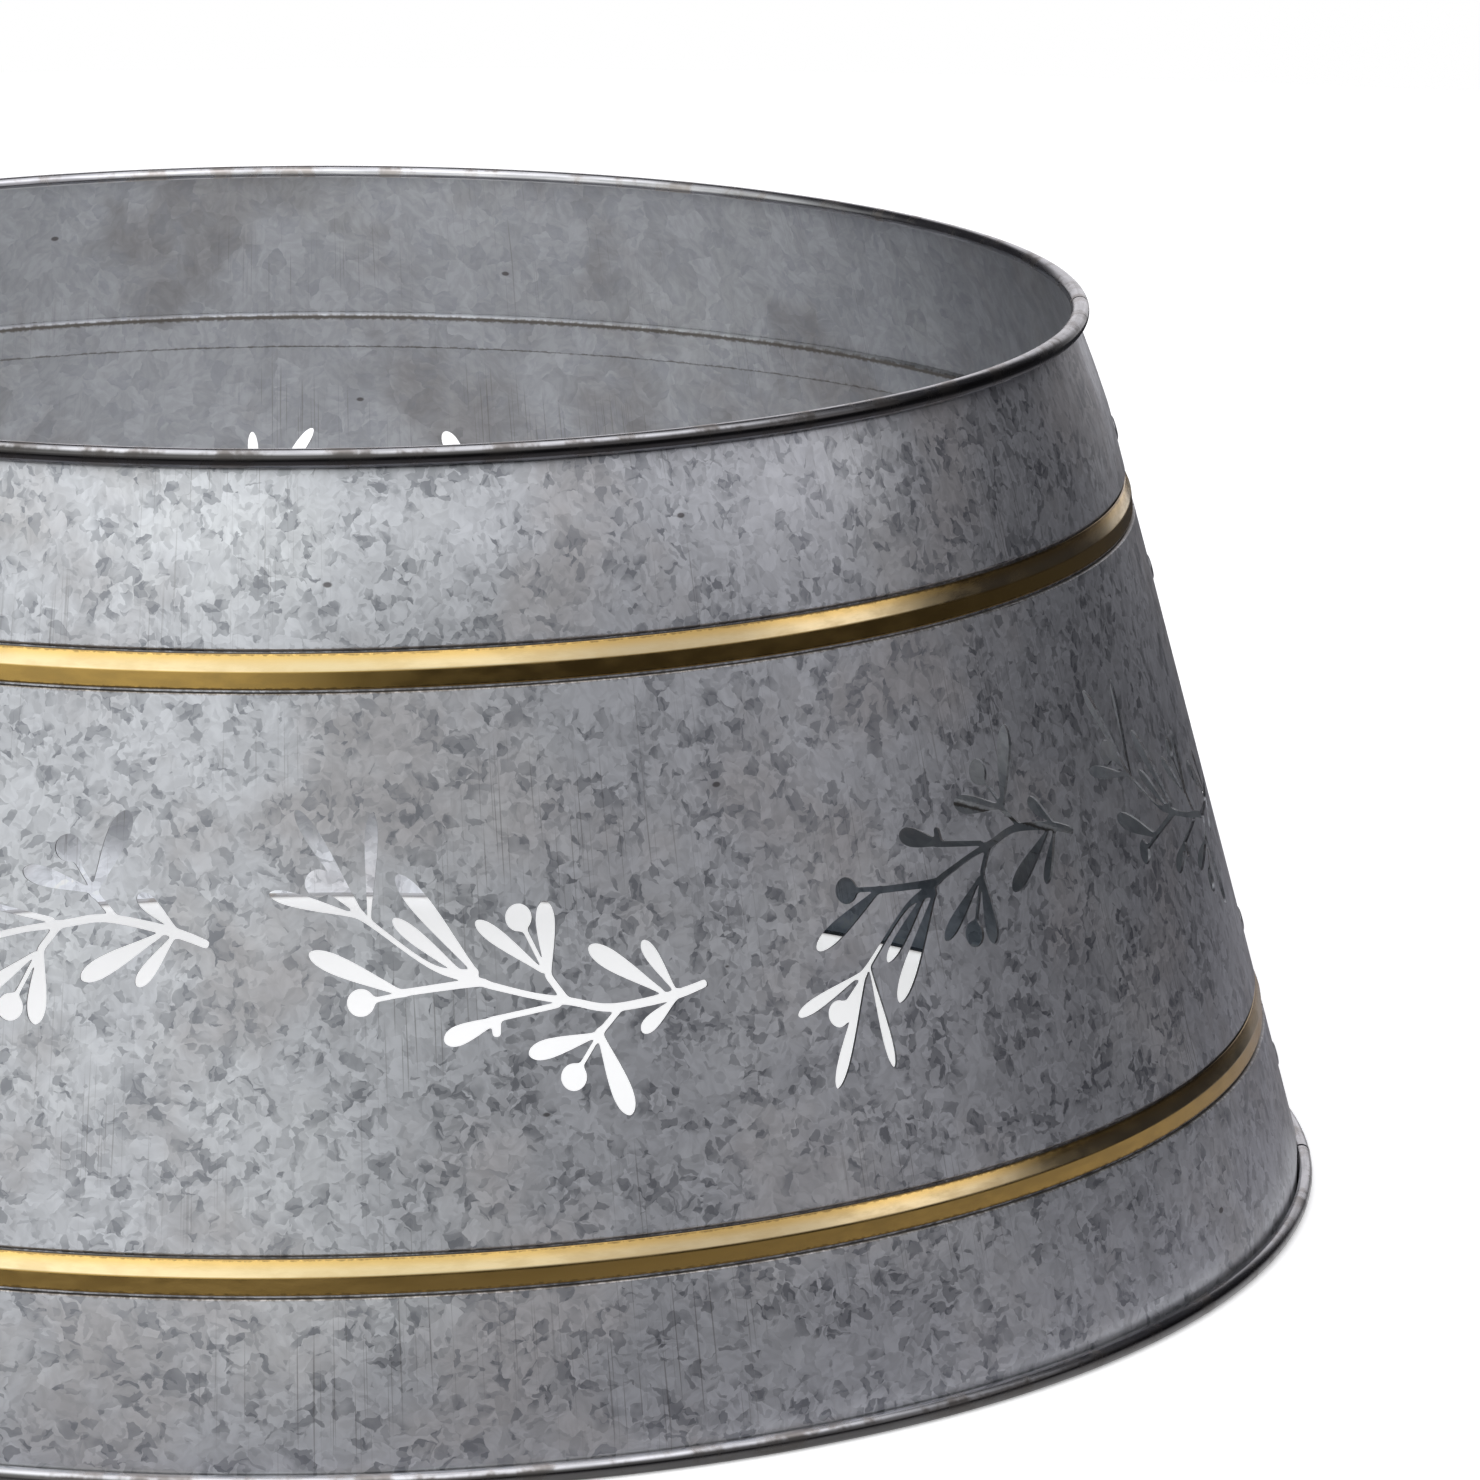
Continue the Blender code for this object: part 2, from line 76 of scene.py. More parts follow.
# Bands and their channels
BAND_EDGE = 0.00055
BAND_CROWN = 0.0008
BAND_CREASE = 0.0004
BAND_LIP_SHARE = 0.35
FACET_HOLD_SHARE = 0.05
CREASE_RUN_SHARE = 0.4
CREASE_EASE_SHARE = 0.65
CHANNEL_DEPTH = 0.0012
CHANNEL_SLOPE = 0.0008
CHANNEL_EASE_SHARES = ((1.0, 0.0), (0.8, 0.12), (0.5, 0.5), (0.2, 0.88), (0.0, 1.0))
LOWER_BAND_RISE = 0.0593
UPPER_BAND_DROP = 0.0613

# Seams
SEAM_GAP = 0.0015
SEAT_GAP = 0.0003
TAB_LENGTH = 0.026
TAB_HEIGHT = 0.018
TAB_JOG = 0.0008
SCREW_SETBACK = 0.015
SCREW_RADIUS = 0.002
SCREW_PLACE_SHARES = ((0.5,), (0.08, 0.85), (0.5,))

# Fasteners: a low-headed screw with a cross recess, and a pressed wing nut
HEAD_RADIUS = 0.0042
HEAD_RISE = 0.0008
RECESS_REACH = 0.0019
RECESS_HALF = 0.00045
RECESS_DEPTH = 0.00045
SHANK_LENGTH = 0.0092
THREAD_PITCH = 0.0007
THREAD_DEPTH = 0.0003
THREAD_ROOT_SHARE = 1.2
THREAD_ROOT_LIFT = 0.42
THREAD_CREST_LIFT = 0.06
THREAD_LEAD = 1.5
THREAD_BARE_TURNS = 3
TIP_RADIUS_SHARE = 0.7
TIP_LENGTH_SHARE = 0.3
NUT_RADIUS = 0.0042
NUT_RISE = 0.0038
NUT_HUB_SHARES = ((1.0, 0.0), (1.0, 0.3), (0.84, 0.92), (0.76, 1.0))
WING_REACH = 0.0102
WING_RISE = 0.0078
WING_HALF = 0.0008
WING_LOBE_SHARE = 0.27
WING_ROOT_SHARES = ((0.55, 0.25), (0.95, 0.25))
WING_WAIST_SHARES = ((0.7, 1.02), (0.55, 1.02))
WING_FIRST_TURN = -0.12 * math.pi
WING_SWEEP = 1.12 * math.pi

# Mistletoe sprigs
SPRIG_MIDDLE_SHARE = 0.494
PAIRS_PER_PANEL = 3
PAIR_PITCH = math.pi / PAIRS_PER_PANEL
FIRST_SPRIG_ANGLE = math.radians(-15.3)
FLIPPED_SPRIG_LAG = math.radians(29.3)
FLIPPED_SPRIG_RISE = 0.0038
FLIPPED_SPRIG_TILT = math.radians(-0.5)
OUTLINE_STEP = 0.0005
OUTLINE_SMOOTHING = 5
OUTLINE_TOLERANCE = 0.00002

# Stage
FLOOR_HEIGHT = -0.0003
FLOOR_RADIUS = 2.4
FLOOR_SIDES = 96
AIM_HEIGHT = 0.1364
SENSOR_WIDTH = 36.0

# The floor in reflections, all painted light and shade: how far out the collar's foot stands
# on it, where its inner part glows white but for a painted shade at the right and at the
# back, and its colours in that shade, round the collar and far off
FOOT_REACH = (0.32, 0.36)
SHADE_RIGHT = (0.02, 0.12)
SHADE_BACK = (0.08, 0.20)
SHADE_COLOUR = (0.07, 0.085, 0.10)
NEAR_COLOUR = (0.30, 0.29, 0.31)
FAR_COLOUR = (0.04, 0.04, 0.045)

# Zinc sheet: painted light and shade at the foot and above it (the inside is painted
# darker above its foot and lighter at it), strength of the flecks, share of metal,
# roughness, size of a grain, and how far the pattern is moved aside
ZINC_OUTSIDE = ((0.96, 1.0), 0.9, 0.8, 0.35, 0.0055, (0.0, 0.0, 0.0))
ZINC_INSIDE = ((1.5, 0.60), 0.5, 1.0, 0.38, 0.0085, (5.0, 2.0, 0.0))
# Heights up the foot over which the painted light and shade eases from its foot value to its
# value above
PAINTED_LIGHT_HEIGHTS = (0.008, 0.034)
FLECK_SHARE = 0.62
FLECK_COVER = 0.28
BUMPS_PER_METRE = 34.0
BUMP_STRENGTH = 0.25
BUMP_DEPTH = 0.0006
SCRATCHED = (0.16, 0.15, 0.15)
MARKED = (0.07, 0.06, 0.06)
# Painted shade along the edges of the bands' channels, where the crevices are: its colour and how
# far it reaches
CHANNEL_SHADE = (0.10, 0.085, 0.07)
CHANNEL_SHADE_REACH = 0.0016

# Spangle: how its edges wobble, how the flecks stretch, cluster, soften and add up
WOBBLES_PER_METRE = 260.0
WOBBLE_REACH = 0.004
FLECK_STRETCH = (1.0, 0.62, 1.0)
FINE_FLECK_RATIO = 2.3
CLUSTERS_PER_METRE = 60.0
CLUSTER_RANGE = (0.35, 0.68, -0.12, 0.16)
GRAIN_DRIFT = 0.14
FLECK_SOFTNESS = 0.3
BIG_FLECK_WEIGHT = 0.66
SMALL_FLECK_WEIGHT = 0.34
STREAK_STRETCH = (1.0, 0.35, 1.0)
STREAKS_PER_METRE = 420.0

# Scratches, clouds, marks and the ragged edge of the painted crevice shade: how fine they are and
# how they stretch
SCRATCH_STRETCH = (1.0, 0.012, 1.0)
SCRATCHES_PER_METRE = 1500.0
BUNCHES_PER_METRE = 14.0
PALE_CLOUD_SHIFT = (3.7, 1.9, 0.0)
MARK_STRETCH = (0.55, 1.0, 1.0)
MARKS_PER_METRE = 30.0
LARGEST_MARK = 0.03
RAGGED_SHADE_PER_METRE = 420.0

# Gilding: worn patches, painted shade at its edges and how far it reaches in
RUB_STRETCH = (1.0, 3.0, 1.0)
RUBS_PER_METRE = 60.0
WORN_GILT = (0.58, 0.40, 0.15)
GILT_EDGE_SHADE = (0.16, 0.10, 0.04)
GILT_EDGE_SHADE_REACH = 0.0011

# Steel: how its streaks and blotches run; then its colour, roughness, colour of its
# blotches and how strongly painted shade darkens its outer underside
DRAWN_SHIFT = (1.3, 0.7, 0.0)
DRAWN_STRETCH = (0.06, 1.0, 1.0)
DRAWN_PER_METRE = 700.0
BLOTCHES_PER_METRE = 55.0
PLATING_PER_METRE = 260.0
ROLLED_RIM = ((0.50, 0.50, 0.52), 0.20, (0.34, 0.30, 0.27), 0.9)
CUT_EDGE = ((0.20, 0.205, 0.22), 0.36, (0.12, 0.11, 0.11), 0.0)
DRAWN_WIRE = ((0.42, 0.43, 0.45), 0.40, (0.30, 0.29, 0.28), 0.0)
# Colour of the painted shade on the steel's outer underside
UNDERSIDE_SHADE = (0.045, 0.042, 0.040)
PLATING_BRIGHT = (0.66, 0.68, 0.70)
PLATING_CLOUDY = (0.50, 0.51, 0.52)

# Fineness
WELD_DISTANCE = 0.000001
COLUMNS = 120
HEAD_SIDES = 40
HEAD_STEPS = 6
THREAD_STEPS = 24
WING_STEPS = 14
CURL_TURN = math.radians(280)
CURL_STEPS = 20
WIRE_SIDES = 16
HOLE_SIDES = 24
SHARP_ANGLE = math.radians(40)

# Leaves as shares of the sprig's length: base x, base y, tip x, tip y, greatest width
LEAF_SHARES = (
    (0.382, -0.075, 0.210, 0.039, 0.045),
    (0.410, -0.074, 0.336, 0.045, 0.034),
    (0.410, -0.088, 0.322, -0.158, 0.036),
    (0.223, -0.155, 0.060, -0.189, 0.044),
    (0.221, -0.141, 0.288, -0.338, 0.050),
    (0.108, -0.013, -0.041, 0.110, 0.036),
    (0.117, -0.031, 0.117, 0.146, 0.045),
    (0.005, -0.105, -0.125, -0.149, 0.045),
    (-0.042, -0.007, -0.208, 0.221, 0.045),
    (-0.065, -0.015, -0.222, 0.126, 0.033),
    (-0.294, 0.134, -0.487, 0.197, 0.031),
    (-0.289, 0.143, -0.418, 0.376, 0.034),
    (-0.272, 0.122, -0.251, 0.361, 0.029),
    (-0.198, -0.044, -0.408, 0.062, 0.043),
    (-0.212, -0.051, -0.327, -0.147, 0.044),
)

# Half a leaf's outline, from base to tip: share of its length, share of its width
LEAF_OUTLINE_SHARES = (
    (0.0, 0.12), (0.15, 0.19), (0.30, 0.29), (0.45, 0.39), (0.60, 0.468),
    (0.75, 0.50), (0.87, 0.435), (0.95, 0.29), (1.0, 0.06),
)

# Berries: centre x, centre y, stalk end x, stalk end y, as shares of the length
BERRY_SHARES = (
    (0.161, -0.245, 0.223, -0.159),
    (0.057, 0.111, 0.109, -0.006),
    (-0.376, 0.212, -0.279, 0.134),
    (-0.300, -0.053, -0.206, -0.040),
)
BERRY_RADIUS_SHARE = 0.031
BERRY_SIDES = 32
STALK_WIDTH_SHARE = 0.011

# Stems: runs of centre-line points with the stem's width there, as shares
STEM_SHARES = (
    ((0.487, -0.058, 0.018), (0.400, -0.082, 0.021), (0.259, -0.099, 0.018),
     (0.167, -0.080, 0.017), (0.078, -0.061, 0.014), (-0.015, -0.033, 0.016),
     (-0.047, -0.025, 0.018), (-0.220, -0.038, 0.015)),
    ((-0.040, -0.013, 0.034), (-0.140, 0.015, 0.012), (-0.271, 0.120, 0.013),
     (-0.308, 0.148, 0.022)),
    ((0.274, -0.104, 0.015), (0.215, -0.163, 0.016)),
    ((0.157, -0.082, 0.018), (0.112, -0.014, 0.015)),
    ((0.142, -0.084, 0.013), (-0.023, -0.109, 0.014)),
    ((-0.006, -0.111, 0.022), (-0.007, -0.146, 0.020)),
)


class CollarSizes(PropertyGroup):
    """The collar's driving sizes."""

    base_diameter: FloatProperty(
        name="Base diameter", description="Across the bottom rim", default=0.660,
        subtype="DISTANCE")
    top_diameter: FloatProperty(
        name="Top diameter", description="Across the top rim", default=0.505,
        subtype="DISTANCE")
    height: FloatProperty(
        name="Height", description="From the ground to the top of the upper rim",
        default=0.2895, subtype="DISTANCE")
    sheet: FloatProperty(
        name="Sheet", description="Thickness of the zinc-coated sheet", default=0.0008,
        subtype="DISTANCE")
    rim_radius: FloatProperty(
        name="Rim radius", description="Outer radius of the rolled rims", default=0.0029,
        subtype="DISTANCE")
    band_height: FloatProperty(
        name="Band height", description="Height of each gilt band", default=0.0105,
        subtype="DISTANCE")
    sprig_length: FloatProperty(
        name="Sprig length", description="Length of one mistletoe sprig", default=0.132,
        subtype="DISTANCE")


class CollarFinish(PropertyGroup):
    """The colours of the metals."""

    zinc_light: FloatVectorProperty(
        name="Zinc, light", description="The bright ground of the zinc coating",
        default=(0.60, 0.615, 0.65), subtype="COLOR", min=0.0, max=1.0)
    zinc_pale: FloatVectorProperty(
        name="Zinc, pale", description="The pale clouds in the zinc coating",
        default=(0.76, 0.78, 0.79), subtype="COLOR", min=0.0, max=1.0)
    zinc_dark: FloatVectorProperty(
        name="Zinc, dark", description="The dark flecks of the spangle",
        default=(0.225, 0.235, 0.26), subtype="COLOR", min=0.0, max=1.0)
    zinc_warm: FloatVectorProperty(
        name="Zinc, warm", description="The warm clouds in the zinc coating",
        default=(0.47, 0.455, 0.46), subtype="COLOR", min=0.0, max=1.0)
    gilt: FloatVectorProperty(
        name="Gilt", description="Colour of the gilt bands",
        default=(0.84, 0.55, 0.16), subtype="COLOR", min=0.0, max=1.0)
    # Painted highlight: the colour the gilding turns on its upward faces near the ridge
    gilt_highlight: FloatVectorProperty(
        name="Gilt, pale", description="Colour of the gilding rubbed pale on its upper face",
        default=(0.84, 0.68, 0.40), subtype="COLOR", min=0.0, max=1.0)


class CollarStage(PropertyGroup):
    """The camera, the floor and the light."""

    camera_distance: FloatProperty(
        name="Camera distance", description="From the camera to the middle of the collar",
        default=2.32808, subtype="DISTANCE")
    camera_elevation: FloatProperty(
        name="Camera elevation", description="Angle of the camera above the ground",
        default=0.24501, subtype="ANGLE")
    camera_heading: FloatProperty(
        name="Camera heading", description="Place of the camera round the collar, from the front",
        default=math.radians(4.0), subtype="ANGLE")
    camera_turn: FloatProperty(
        name="Camera turn", description="How far the camera looks past the collar's middle",
        default=0.06256, subtype="ANGLE")
    camera_tilt: FloatProperty(
        name="Camera tilt", description="How far the camera looks below the middle",
        default=-0.00177, subtype="ANGLE")
    camera_roll: FloatProperty(
        name="Camera roll", description="Turn of the camera about its own axis",
        default=0.00401, subtype="ANGLE")
    lens: FloatProperty(
        name="Lens", description="Focal length in millimetres on a 36 mm sensor",
        default=173.37)
    floor_colour: FloatVectorProperty(
        name="Floor", description="Colour of the floor",
        default=(0.90, 0.90, 0.90), subtype="COLOR", min=0.0, max=1.0)
    floor_lift: FloatProperty(
        name="Floor lift", description="How much lighter than lit the camera sees the floor",
        default=0.35)
    floor_white: FloatProperty(
        name="White floor", description="How far out the floor is white in reflections",
        default=0.58, subtype="DISTANCE")
    floor_dark: FloatProperty(
        name="Dark floor", description="How far out the floor is dark in reflections",
        default=1.0, subtype="DISTANCE")


class Cone:
    """The wall's shape, worked out from the collar's sizes."""

    def __init__(self, sizes):
        self.sheet = sizes.sheet
        self.curl_radius = sizes.rim_radius - sizes.sheet / 2
        self.base_radius = sizes.base_diameter / 2 - sizes.rim_radius - BOTTOM_RIM_STANDOFF
        top_radius = sizes.top_diameter / 2 - sizes.rim_radius + TOP_RIM_INSET
        rise = sizes.height - sizes.rim_radius - FOOT_APOTHEM
        self.taper = math.atan2(self.base_radius - top_radius, rise)
        self.slant = math.hypot(self.base_radius - top_radius, rise)
        self.base_height = FOOT_APOTHEM - BOTTOM_RIM_STANDOFF * math.sin(self.taper)
        self.band_half = sizes.band_height / 2
        self.lower_band = LOWER_BAND_RISE
        self.upper_band = self.slant - UPPER_BAND_DROP
        self.channel_floor = self.band_half + SEAT_GAP + sizes.sheet / 2
        self.channel_edge = self.channel_floor + CHANNEL_SLOPE
        self.sprig_length = sizes.sprig_length
        self.sprig_place = self.slant * SPRIG_MIDDLE_SHARE
        self.pattern_radius = self.base_radius - self.sprig_place * math.sin(self.taper)
        self.apex_reach = self.pattern_radius / math.sin(self.taper)
        self.lap_depth = sizes.sheet + SEAT_GAP
        self.seam_angle = SEAM_GAP / self.pattern_radius

    def laid_on(self, angle, point):
        """Where a point of a drawing made on the flat sheet lies on the pattern.

        The sheet of a cone is a sector of a ring, so the drawing's straight lines bend
        a little towards the wide end.
        """
        reach = math.hypot(point.x, self.apex_reach - point.y)
        swing = math.atan2(point.x, self.apex_reach - point.y) / math.sin(self.taper)
        return Vector(((angle + swing) * self.pattern_radius,
                       self.sprig_place + self.apex_reach - reach))

    def columns(self, half):
        """Places along the flat pattern where one half's sheet bends, from end to end."""
        start = math.pi * (half - 1) + self.seam_angle / 2
        step = (math.pi - self.seam_angle) / COLUMNS
        return [(start + step * column) * self.pattern_radius for column in range(COLUMNS + 1)]


def arc_run(centre_along, centre_out, radius, first, turn, steps):
    """Points on an arc of the section, as (along, out)."""
    points = []
    for step in range(steps + 1):
        angle = first + turn * step / steps
        points.append((centre_along + radius * math.sin(angle),
                       centre_out - radius * math.cos(angle)))
    return points


def section_runs(cone):
    """The formed stretches of the wall's section, each a run of (along, out) points."""
    top = arc_run(cone.slant, -TOP_RIM_INSET, cone.curl_radius, 0.0, CURL_TURN, CURL_STEPS)
    bottom = arc_run(0.0, BOTTOM_RIM_STANDOFF, cone.curl_radius, 0.0, -CURL_TURN, CURL_STEPS)
    neck = cone.slant - TOP_NECK
    bend = cone.slant - TOP_NECK_BEND
    drawn = cone.curl_radius + TOP_RIM_INSET
    neck_points = [
        (neck, 0.0),
        (neck + (bend - neck) * NECK_MIDDLE_SHARE, -TOP_NECK_DRAW * NECK_DRAW_SHARE),
        (bend, -TOP_NECK_DRAW),
        (bend + (cone.slant - bend) * NECK_END_SHARE,
         -TOP_NECK_DRAW - (drawn - TOP_NECK_DRAW) * NECK_DRAW_SHARE),
    ]
    foot = [(BOTTOM_NECK, 0.0),
            (BOTTOM_NECK * NECK_MIDDLE_SHARE,
             -(cone.curl_radius - BOTTOM_RIM_STANDOFF) * NECK_MIDDLE_SHARE)]
    return [
        (bottom[::-1] + foot[::-1], "bottom"),
        (channel_run(cone, cone.lower_band), "channel"),
        (channel_run(cone, cone.upper_band), "channel"),
        (neck_points + top, "top"),
    ]


def channel_run(cone, place):
    """The pressed channel of one band, its edges eased."""
    rising = [(cone.channel_floor + (cone.channel_edge - cone.channel_floor) * run,
               -CHANNEL_DEPTH * depth) for run, depth in CHANNEL_EASE_SHARES]
    lower = [(place - run, out) for run, out in rising]
    upper = [(place + run, out) for run, out in rising[::-1]]
    return lower + upper


def smooth_curve(points, steps):
    """A smooth curve through points, each a tuple of any length."""
    made = []
    last = len(points) - 1
    for index in range(last):
        before, start = points[max(index - 1, 0)], points[index]
        end, after = points[index + 1], points[min(index + 2, last)]
        for step in range(steps):
            t = step / steps
            made.append(tuple(
                0.5 * (2 * b + (c - a) * t + (2 * a - 5 * b + 4 * c - d) * t * t
                       + (3 * b - a - 3 * c + d) * t ** 3)
                for a, b, c, d in zip(before, start, end, after)))
    made.append(tuple(points[last]))
    return made


def leaf_outline(length, base_x, base_y, tip_x, tip_y, width):
    """A leaf's outline, slim at its base, fullest past the middle, round at its tip."""
    base = Vector((base_x, base_y)) * length
    axis = Vector((tip_x, tip_y)) * length - base
    side = Vector((-axis.y, axis.x)).normalized() * width * length
    half = smooth_curve(LEAF_OUTLINE_SHARES, 3)
    right = [base + axis * run - side * out for run, out in half]
    left = [base + axis * run + side * out for run, out in half]
    return right + left[::-1]


def stem_outline(length, run):
    """A smooth stem through points that each carry a width."""
    run = smooth_curve(run, 6)
    points = [Vector((x, y)) * length for x, y, _ in run]
    right = []
    left = []
    for index, (point, (_, _, width)) in enumerate(zip(points, run)):
        before = point - points[max(index - 1, 0)]
        after = points[min(index + 1, len(points) - 1)] - point
        way = before.normalized() + after.normalized()
        side = Vector((-way.y, way.x)).normalized() * width * length / 2
        right.append(point - side)
        left.append(point + side)
    return right + left[::-1]


def circle_outline(centre, radius, sides):
    """A regular polygon, anticlockwise."""
    turns = [math.tau * (step + 0.5) / sides for step in range(sides)]
    return [centre + Vector((math.cos(turn), math.sin(turn))) * radius for turn in turns]


def boundary_loop(faces):
    """The longest boundary loop of a set of triangles or polygons, as point numbers."""
    ahead = {}
    edges = {(face[i - 1], face[i]) for face in faces for i in range(len(face))}
    for start, end in edges:
        if (end, start) not in edges:
            ahead.setdefault(start, []).append(end)
    loops = []
    while ahead:
        start = next(iter(ahead))
        loop = [start]
        while ahead.get(loop[-1]):
            following = ahead[loop[-1]].pop()
            if not ahead[loop[-1]]:
                del ahead[loop[-1]]
            if following == start:
                break
            loop.append(following)
        loops.append(loop)
    return max(loops, key=len)


def even_loop(points, step):
    """The same closed outline with its points an even step apart."""
    closed = points + points[:1]
    lengths = [(b - a).length for a, b in zip(closed, closed[1:])]
    count = max(int(sum(lengths) / step), 3)
    stride = sum(lengths) / count
    made = []
    walked = 0.0
    for start, end, length in zip(closed, closed[1:], lengths):
        while len(made) < count and len(made) * stride <= walked + length:
            share = (len(made) * stride - walked) / max(length, WELD_DISTANCE)
            made.append(start.lerp(end, share))
        walked += length
    return made


def thinned(points, tolerance):
    """An open run of points without those that lie on a straight line."""
    first, last = points[0], points[-1]
    way = last - first
    worst, far = 0, tolerance
    for index in range(1, len(points) - 1):
        offset = points[index] - first
        if way.length > 0:
            distance = abs(way.x * offset.y - way.y * offset.x) / way.length
        else:
            distance = offset.length
        if distance > far:
            worst, far = index, distance
    if worst == 0:
        return [first, last]
    return thinned(points[:worst + 1], tolerance)[:-1] + thinned(points[worst:], tolerance)


def sprig_outline(length):
    """One sprig's whole outline: leaves, berries and stems joined and eased together."""
    outlines = [leaf_outline(length, *leaf) for leaf in LEAF_SHARES]
    for berry_x, berry_y, stalk_x, stalk_y in BERRY_SHARES:
        centre = Vector((berry_x, berry_y)) * length
        outlines.append(circle_outline(centre, BERRY_RADIUS_SHARE * length, BERRY_SIDES))
        outlines.append(stem_outline(length, ((stalk_x, stalk_y, STALK_WIDTH_SHARE),
                                              (berry_x, berry_y, STALK_WIDTH_SHARE))))
    outlines += [stem_outline(length, run) for run in STEM_SHARES]
    points = []
    rings = []
    for outline in outlines:
        rings.append(list(range(len(points), len(points) + len(outline))))
        points += outline
    made, _, faces, _, _, _ = delaunay_2d_cdt(points, [], rings, 1, WELD_DISTANCE)
    loop = even_loop([made[index] for index in boundary_loop(faces)], OUTLINE_STEP)
    for _ in range(OUTLINE_SMOOTHING):
        loop = [(loop[index - 1] + point * 2 + loop[(index + 1) % len(loop)]) / 4
                for index, point in enumerate(loop)]
    half = len(loop) // 2
    return (thinned(loop[:half + 1], OUTLINE_TOLERANCE)[:-1]
            + thinned(loop[half:] + loop[:1], OUTLINE_TOLERANCE)[:-1])


def placed_sprigs(cone, half):
    """The sprig outlines of one half, upright and flipped in turn."""
    upright = sprig_outline(cone.sprig_length)
    tilt = Matrix.Rotation(FLIPPED_SPRIG_TILT, 2)
    rise = Vector((0.0, FLIPPED_SPRIG_RISE))
    flipped = [tilt @ Vector((point.x, -point.y)) + rise for point in upright[::-1]]
    placed = []
    for pair in range(PAIRS_PER_PANEL):
        angle = FIRST_SPRIG_ANGLE - pair * PAIR_PITCH + math.pi * half
        placed.append([cone.laid_on(angle, point) for point in upright])
        placed.append([cone.laid_on(angle - FLIPPED_SPRIG_LAG, point) for point in flipped])
    return placed


def plain_zones(cone):
    """The wall's plain zones: lower limit, upper limit and the screws' places."""
    runs = [run for run, _ in section_runs(cone)]
    zones = []
    for lower, upper, shares in zip(runs, runs[1:], SCREW_PLACE_SHARES):
        low, high = lower[-1][0], upper[0][0]
        zones.append((low, high, [low + (high - low) * share for share in shares]))
    return zones


def zone_faces(cone, half, low, high, screws, cuts):
    """One plain zone of the flat pattern, with its lap tabs, cut into triangles."""
    columns = cone.columns(half)
    sheet = [[Vector((x, low)) for x in columns] + [Vector((x, high)) for x in columns[::-1]]]
    end = columns[-1]
    holes = []
    hole_radius = SCREW_RADIUS + SEAT_GAP
    for along in screws:
        tab_low = along - TAB_HEIGHT / 2
        tab_high = along + TAB_HEIGHT / 2
        for start, stop in ((end, end + TAB_JOG), (end + TAB_JOG, end + TAB_LENGTH)):
            sheet.append([Vector((start, tab_low)), Vector((stop, tab_low)),
                          Vector((stop, tab_high)), Vector((start, tab_high))])
        tab_hole = Vector((end + SCREW_SETBACK, along))
        wall_hole = tab_hole - Vector((math.pi * cone.pattern_radius, 0.0))
        holes += [circle_outline(centre, hole_radius, HOLE_SIDES)
                  for centre in (tab_hole, wall_hole)]
    points = []
    rings = []
    for outline in sheet + holes + cuts:
        rings.append(list(range(len(points), len(points) + len(outline))))
        points += outline
    creases = [(column, 2 * COLUMNS + 1 - column) for column in range(1, COLUMNS)]
    made, _, faces, drawn, _, sources = delaunay_2d_cdt(points, creases, rings, 1,
                                                        WELD_DISTANCE)
    exact = [points[given[0]] if given else point for point, given in zip(made, drawn)]
    return [[exact[corner] for corner in face] for face, source in zip(faces, sources)
            if source and max(source) < len(sheet)]


def flat_panel(cone, half):
    """The flat pattern of one half: x along the sheet, y up the wall, z outward."""
    shape = bmesh.new()
    pattern = shape.loops.layers.uv.new("pattern")
    rolled = shape.faces.layers.int.new("rolled")
    corners = {}
    unrolled = {}
    end = cone.columns(half)[-1]

    def corner(x, along, out):
        key = tuple(round(place / WELD_DISTANCE) for place in (x, along, out))
        if key not in corners:
            corners[key] = shape.verts.new((x, along, out))
        return corners[key]

    def add(places, is_rolled):
        ring = []
        for x, along, out, path in places:
            vertex = corner(x, along, out)
            if vertex not in ring:
                ring.append(vertex)
                unrolled[vertex] = (x, path)
        if len(ring) > 2:
            face = shape.faces.new(ring)
            face[rolled] = is_rolled
            for loop in face.loops:
                loop[pattern].uv = unrolled[loop.vert]

    columns = cone.columns(half)
    for run, kind in section_runs(cone):
        path = [0.0]
        for (along, out), (next_along, next_out) in zip(run, run[1:]):
            path.append(path[-1] + math.hypot(next_along - along, next_out - out))
        shift = run[-1][0] - path[-1] if kind == "bottom" else run[0][0]
        for index, ((along, out), (next_along, next_out)) in enumerate(zip(run, run[1:])):
            height, next_height = path[index] + shift, path[index + 1] + shift
            curled = kind == "bottom" and index < CURL_STEPS
            curled = curled or (kind == "top" and index >= len(run) - 1 - CURL_STEPS)
            for x, next_x in zip(columns, columns[1:]):
                add([(x, along, out, height), (next_x, along, out, height),
                     (next_x, next_along, next_out, next_height),
                     (x, next_along, next_out, next_height)], int(curled))
    sprigs = placed_sprigs(cone, half)
    for low, high, screws in plain_zones(cone):
        cuts = sprigs if low < cone.sprig_place < high else []
        for face in zone_faces(cone, half, low, high, screws, cuts):
            places = []
            for point in face:
                lap = min(max((point.x - end) / TAB_JOG, 0.0), 1.0)
                places.append((point.x, point.y, -cone.lap_depth * lap, point.y))
            add(places, 0)
    return shape


def strip(cone, half, section):
    """A straight bar of a closed section of (along, out) points, ready to be rolled."""
    shape = bmesh.new()
    pattern = shape.loops.layers.uv.new("pattern")
    columns = cone.columns(half)
    rings = [[shape.verts.new((x, along, out)) for along, out in section] for x in columns]
    for column, (ring, following) in enumerate(zip(rings, rings[1:])):
        for index in range(len(section)):
            after = (index + 1) % len(section)
            face = shape.faces.new([ring[index], following[index], following[after], ring[after]])
            places = ((column, index), (column + 1, index), (column + 1, after),
                      (column, after))
            for loop, (place, point) in zip(face.loops, places):
                loop[pattern].uv = (columns[place], section[point][0])
    shape.faces.new(rings[0])
    shape.faces.new(rings[-1])
    bmesh.ops.recalc_face_normals(shape, faces=shape.faces)
    return shape


